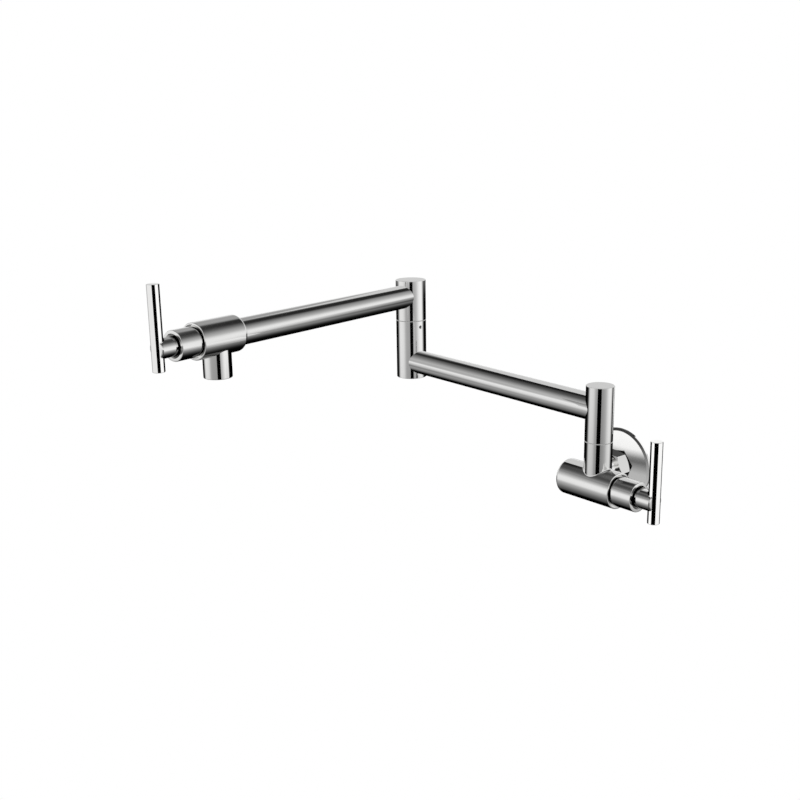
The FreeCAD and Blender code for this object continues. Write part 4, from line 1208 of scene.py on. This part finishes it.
@dataclass
class BarFlag:
    """A curved screen close round a cross bar, which only that bar mirrors.

    It puts the crisp black stripe between two white ones on the bar. The stripes are given by
    the bearings on the bar that show them, counted from the camera's, as
    (start, end, brightness).
    """

    node: str
    camera_place: Vector
    stripes: Sequence[tuple[float, float, float]]
    bar_radius: float = 5.3 * MM
    radius: float = 6 * MM
    step: float = 4
    reach: tuple[float, float] = (0, 3 * MM)

    def build(self) -> None:
        """Build a panel for every stripe."""
        low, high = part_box(self.node)
        axis = (low + high) / 2
        towards = self.camera_place - axis
        facing = math.atan2(towards.y, towards.x)
        for number, (start, end, brightness) in enumerate(self.stripes):
            met_start, met_end = facing + self.met(start), facing + self.met(end)
            panel = self.panel(axis, (low.z, high.z), met_start, met_end)
            panel.name = f"{self.node}_flag_{number}"
            Glow(even(brightness), self.reach).put_on(panel)

    def met(self, bearing: float) -> float:
        """Where round the screen a ray lands that leaves the bar at a bearing in degrees."""
        turn = math.radians(bearing)
        return 2 * turn - math.asin(self.bar_radius / self.radius * math.sin(turn))

    def panel(
        self, axis: Vector, heights: tuple[float, float], start: float, end: float
    ) -> bpy.types.Object:
        """Sweep an upright edge round the bar.

        Args:
            axis: a point on the bar's axis.
            heights: the panel's lower and upper height.
            start: the bearing where the panel starts, in radians.
            end: the bearing where it ends.

        Returns:
            The panel, its front towards the bar.
        """
        bpy.ops.object.select_all(action="DESELECT")
        bpy.ops.mesh.primitive_plane_add(size=1, location=(0, 0, 0))
        panel = bpy.context.active_object
        bpy.ops.object.mode_set(mode="EDIT")
        bpy.ops.mesh.select_mode(type="VERT")
        bpy.ops.mesh.select_all(action="SELECT")
        bpy.ops.mesh.merge(type="CENTER")
        edge = axis + self.radius * Vector((math.cos(start), math.sin(start), 0))
        low, high = heights
        bpy.ops.transform.translate(value=(edge.x, edge.y, low))
        bpy.ops.mesh.extrude_region_move(TRANSFORM_OT_translate={"value": (0, 0, high - low)})
        bpy.ops.mesh.select_all(action="SELECT")
        steps = max(2, round(math.degrees(end - start) / self.step))
        bpy.ops.mesh.spin(steps=steps, angle=start - end, center=axis, axis=(0, 0, 1))
        bpy.ops.object.mode_set(mode="OBJECT")
        first = panel.data.polygons[0]
        if first.normal.dot(first.center - axis) > 0:
            panel.data.flip_normals()
        return panel


@dataclass(frozen=True)
class Patch:
    """A round patch of the studio, lighter or darker than what is round it.

    Its centre is a bearing and a height. Its edge gives the angles from the centre where the
    soft edge starts and ends. All are in degrees.
    """

    centre: tuple[float, float]
    edge: tuple[float, float]
    brightness: float

    def over(
        self, sheet: NodeSheet, direction: bpy.types.NodeSocket, around: bpy.types.NodeSocket
    ) -> bpy.types.NodeSocket:
        """Lay the patch over the studio.

        Args:
            sheet: the world's node sheet.
            direction: the direction that is looked along.
            around: the brightness without the patch.

        Returns:
            The brightness with it.
        """
        bearing, height = map(math.radians, self.centre)
        towards = (
            math.cos(height) * math.cos(bearing), math.cos(height) * math.sin(bearing),
            math.sin(height),
        )
        closeness = sheet.add(
            "ShaderNodeVectorMath", {0: direction, 1: towards}, operation="DOT_PRODUCT"
        ).outputs["Value"]
        outside, inside = (math.cos(math.radians(angle)) for angle in self.edge)
        return sheet.mix(sheet.spread(closeness, 0, 1, outside, inside), around, self.brightness)


@dataclass
class Studio:
    """Camera, floor and light. None of it is part of the pot filler.

    The studio that the chrome mirrors is a world of soft bands: bright at the height of the
    eye, dark overhead and underfoot, and black low down on the side of the wall. Angles are
    degrees of height, or degrees of bearing from the direction of +X. The cards and screens
    close to the pot filler are set for the camera's side and stay where they are at every pose.
    """

    camera_place: tuple[float, float, float] = (611.1 * MM, -771.7 * MM, 316.4 * MM)
    camera_azimuth: float = 50.45
    camera_elevation: float = 14.61
    camera_roll: float = -0.92
    lens: float = 48.44
    floor_drop: float = 0.45
    floor_size: float = 8
    lamp_level: float = 0.9
    upper_bands: Outline = (
        (-90, 0.84), (0, 0.88), (6, 0.86), (9, 0.8), (13.5, 0.68), (18, 0.54), (22, 0.45),
        (27, 0.37), (31, 0.3), (35, 0.22), (39, 0.14), (44, 0.075), (50, 0.06), (60, 0.2), (90, 0.6),
    )
    lower_bands: Outline = (
        (-90, 0.04), (-56, 0.05), (-48, 0.11), (-41, 0.2), (-33, 0.33), (-24, 0.52), (-18, 0.75),
        (-12, 1), (90, 1),
    )
    lower_bearings: Outline = (
        (-180, 0), (-162, 0.01), (-154, 0.12), (-148, 0.4), (-140, 0.76), (-128, 0.85),
        (-105, 0.8), (-93, 0.66), (-85, 0.48), (-75, 0.4), (-30, 0.34), (-14, 0.42), (0, 0.52),
        (10, 0.68), (20, 0.85), (35, 0.97), (48, 0.97), (55, 0.75), (62, 0.4), (69, 0.08),
        (76, 0), (180, 0),
    )
    ground_bearings: Outline = (
        (-180, 0.12), (-173, 0.4), (-166, 0.85), (-150, 0.92), (50, 0.9), (60, 0.82), (66, 0.62),
        (72, 0.5), (80, 0.3), (90, 0.1), (104, 0.02), (130, 0), (172, 0), (180, 0.12),
    )
    ground_edge: tuple[float, float] = (-31, -23)
    blend_band: tuple[float, float] = (-9, -2)
    patches: Sequence[Patch] = (
        Patch((130, 35), (20, 9), 0.36), Patch((95, 40), (16, 7), 0.02),
        Patch((-142, 11), (11, 4), 0.45), Patch((168, 46), (16, 4), 0.01),
    )
    cards: Sequence[StudioCard] = (
        StudioCard("black_card", (0.345, -0.495, -0.2), (0.31, 0.6), 135, Glow(even(0))),
        StudioCard("bounce_card", (-0.45, 0.35, 0.39), (0.5, 0.46), 0, Glow(even(0.65))),
        StudioCard("cap_card", (-0.45, 0.675, 0.32), (0.15, 0.12), 0, Glow(even(1))),
        StudioCard("flange_card", (-0.004, -0.022, 0), (0.09, 0.09), 90, Glow(
            ((-30, 0.5), (-10, 0.48), (-4, 0.3), (2, 0.13), (6, 0.22), (10, 0.6), (14, 0.95), (30, 1)),
            (0.012, 0.06),
        )),
        StudioCard("flange_rim_card", (0.045, 0.02, 0.054), (0.06, 0.056), -90, Glow(
            even(1), (0.005, 0.08),
        )),
        StudioCard("nut_card", (-0.026, 0.02, 0.042), (0.07, 0.055), -90, Glow(
            even(0.07), (0.005, 0.06),
        )),
        StudioCard("outlet_card", (-0.147, -0.283, 0.12), (0.12, 0.1), 50, Glow(
            ((75, 0.62), (99, 0.5), (136, 0.34), (170, 0.22)), (0.262, 0.4),
        )),
        StudioCard("inlet_card", (-0.013, -0.113, 0.024), (0.13, 0.1), -130, Glow(
            ((-26, 0.4), (7, 0.5), (33, 0.73), (63, 0.9), (74, 0.95)), (0.255, 0.36),
        )),
    )
    inlet_stripes: Sequence[tuple[float, float, float]] = (
        (-90, -49, 0), (-49, -21.5, 1.1), (-21.5, 17, 0), (17, 60, 1.05), (60, 90, 0.1),
    )
    outlet_stripes: Sequence[tuple[float, float, float]] = (
        (-90, -62, 0.5), (-62, -11, 0.9), (-11, 18, 0), (18, 49, 1.1), (49, 90, 0),
    )

    def build(self) -> None:
        """Set up the whole studio."""
        self.camera()
        self.floor()
        self.world()
        for card in self.cards:
            card.build()
        place = Vector(self.camera_place)
        RimShade().build()
        NutShade().build()
        BarFlag("inlet_handle_bar", place, self.inlet_stripes).build()
        BarFlag("outlet_handle_bar", place, self.outlet_stripes).build()
        bpy.context.scene.view_settings.view_transform = "Standard"

    def view_axes(self) -> tuple[Vector, Vector, Vector]:
        """The camera's right, up and backward directions."""
        turn, rise, roll = map(
            math.radians, (self.camera_azimuth, self.camera_elevation, self.camera_roll)
        )
        back = Vector((
            math.sin(turn) * math.cos(rise), -math.cos(turn) * math.cos(rise), math.sin(rise),
        ))
        right = Vector((math.cos(turn), math.sin(turn), 0))
        up = back.cross(right)
        return (
            right * math.cos(roll) + up * math.sin(roll),
            up * math.cos(roll) - right * math.sin(roll),
            back,
        )

    def camera(self) -> None:
        """The camera at the photograph's place and angle."""
        data = bpy.data.cameras.new("camera")
        data.lens = self.lens
        data.sensor_width = 36
        data.clip_start = 0.01
        data.clip_end = 50
        camera = bpy.data.objects.new("camera", data)
        bpy.context.scene.collection.objects.link(camera)
        right, up, back = self.view_axes()
        matrix = Matrix((right, up, back)).transposed().to_4x4()
        matrix.translation = Vector(self.camera_place)
        camera.matrix_world = matrix
        bpy.context.scene.camera = camera

    def floor(self) -> None:
        """A plain pale floor well below the pot filler, white to the camera."""
        bpy.ops.object.select_all(action="DESELECT")
        height = CAD_BOX[0].z - self.floor_drop
        bpy.ops.mesh.primitive_plane_add(size=self.floor_size, location=(0, 0, height))
        floor = bpy.context.active_object
        floor.name = "floor"
        floor.visible_glossy = False
        material = bpy.data.materials.new("pale_floor")
        material.use_nodes = True
        sheet = NodeSheet(material.node_tree)
        ray = sheet.add("ShaderNodeLightPath").outputs["Is Camera Ray"]
        matt = sheet.add("ShaderNodeBsdfDiffuse", {"Color": (0.85, 0.85, 0.85, 1)})
        white = sheet.add("ShaderNodeEmission", {"Color": (1, 1, 1, 1), "Strength": 1.0})
        mixed = sheet.add("ShaderNodeMixShader", {
            0: ray, 1: matt.outputs["BSDF"], 2: white.outputs["Emission"],
        })
        sheet.add("ShaderNodeOutputMaterial", {"Surface": mixed.outputs["Shader"]})
        floor.data.materials.append(material)

    def world(self) -> None:
        """White to the camera, plain light on the object, and soft bands in the chrome."""
        world = bpy.data.worlds.new("studio")
        bpy.context.scene.world = world
        world.use_nodes = True
        sheet = NodeSheet(world.node_tree)
        direction = sheet.add("ShaderNodeTexCoord").outputs["Generated"]
        parts = sheet.add("ShaderNodeSeparateXYZ", {0: direction}).outputs
        height = sheet.math("ARCSINE", parts["Z"])
        bearing = sheet.math("ARCTAN2", parts["Y"], parts["X"])
        upper = sheet.ramp(height, self.upper_bands)
        ground_start, ground_end = map(math.radians, self.ground_edge)
        around = sheet.mix(
            sheet.spread(height, 0, 1, ground_start, ground_end),
            sheet.ramp(bearing, self.ground_bearings), sheet.ramp(bearing, self.lower_bearings),
        )
        lower = sheet.math("MULTIPLY", sheet.ramp(height, self.lower_bands), around)
        blend_start, blend_end = map(math.radians, self.blend_band)
        share = sheet.spread(height, 0, 1, blend_start, blend_end)
        for patch in self.patches:
            upper = patch.over(sheet, direction, upper)
        mirrored = sheet.mix(share, lower, upper)
        rays = sheet.add("ShaderNodeLightPath").outputs
        lit = sheet.mix(rays["Is Glossy Ray"], self.lamp_level, mirrored)
        seen = sheet.mix(rays["Is Camera Ray"], lit, 1.0)
        background = sheet.add("ShaderNodeBackground", {"Color": (1, 1, 1, 1), "Strength": seen})
        sheet.add("ShaderNodeOutputWorld", {"Surface": background.outputs["Background"]})


# ---------------------------------------------------------------------------------------
# The whole pot filler
# ---------------------------------------------------------------------------------------

@dataclass
class PotFiller:
    """The pot filler's sub-assemblies in the order that water runs through them."""

    shop: Workshop
    riser_radius: float = 12.4 * MM
    elbow_radius: float = 15.6 * MM
    running_bore: float = 9.05 * MM
    spigot_socket: float = 10.05 * MM
    tube_socket_depth: float = 10 * MM
    inlet_tail: float = 35.5 * MM
    inlet_front: float = 24.4 * MM
    inlet_tail_round: float = 3 * MM
    outlet_tail: float = 23.5 * MM
    outlet_front: float = 25.1 * MM
    outlet_tail_round: float = 3.6 * MM

    def build(self) -> None:
        """Build every sub-assembly."""
        inlet = joint_place("inlet_valve_turn")
        outlet = joint_place("outlet_valve_turn")
        riser = joint_place("base_swivel")
        elbow = joint_place("elbow_swivel")
        inlet_along = Vector(joint("inlet_valve_turn")["axis"])
        outlet_along = Vector(joint("outlet_valve_turn")["axis"]).normalized()
        WallConnection(self.shop).build()
        InletValve(
            self.shop, "inlet", inlet, inlet_along,
            self.inlet_tail, self.inlet_front, self.inlet_tail_round,
        ).build()
        self.posts(riser, elbow)
        self.tubes(riser, elbow, outlet)
        OutletValve(
            self.shop, "outlet", outlet, outlet_along,
            self.outlet_tail, self.outlet_front, self.outlet_tail_round,
        ).build()
        Aerator(self.shop, outlet).build()

    def posts(self, riser: Vector, elbow: Vector) -> None:
        """The swivelling halves of the riser and the elbow post, and their washers."""
        lower_arm = flat_direction(riser, elbow)
        upper_arm = flat_direction(elbow, joint_place("outlet_valve_turn"))
        lower_height = middle_height("lower_arm_tube")
        upper_height = middle_height("upper_arm_tube")
        SwivelPost(
            self.shop, "base_swivel_barrel", riser, lower_arm, lower_height,
            self.riser_radius, self.running_bore, opens_down=True,
            screw_height=middle_height("base_set_screw"),
        ).build()
        SwivelPost(
            self.shop, "elbow_lower_barrel", elbow, -lower_arm, lower_height,
            self.elbow_radius, self.running_bore, opens_down=False,
            screw_height=middle_height("elbow_set_screw"),
        ).build()
        SwivelPost(
            self.shop, "elbow_upper_barrel", elbow, upper_arm, upper_height,
            self.elbow_radius, self.spigot_socket, opens_down=True,
        ).build()
        SlideWasher(self.shop, "base_slide_washer", riser).build()
        SlideWasher(self.shop, "elbow_slide_washer", elbow).build()

    def tubes(self, riser: Vector, elbow: Vector, outlet: Vector) -> None:
        """The two arm tubes."""
        for node, start, end, start_radius, end_radius, beyond in (
            ("lower_arm_tube", riser, elbow, self.riser_radius, self.elbow_radius, 0),
            ("upper_arm_tube", elbow, outlet, self.elbow_radius, None,
             self.tube_socket_depth - self.outlet_tail),
        ):
            base = Vector((start.x, start.y, middle_height(node)))
            span = math.hypot(end.x - start.x, end.y - start.y)
            arm = flat_direction(start, end)
            ArmTube(
                self.shop, node, base, arm, span + beyond, start_radius, end_radius
            ).build()


def flat_direction(start: Vector, end: Vector) -> Vector:
    """The level direction from one upright axis to another."""
    return Vector((end.x - start.x, end.y - start.y, 0)).normalized()


def main() -> None:
    """Dress the CAD nodes, build the shown pieces and set up the studio."""
    logging.basicConfig(level=logging.INFO, format="%(message)s")
    rack = FinishRack()
    rack.dress_cad_nodes()
    PotFiller(Workshop(rack)).build()
    Studio().build()


if __name__ == "__main__":
    main()
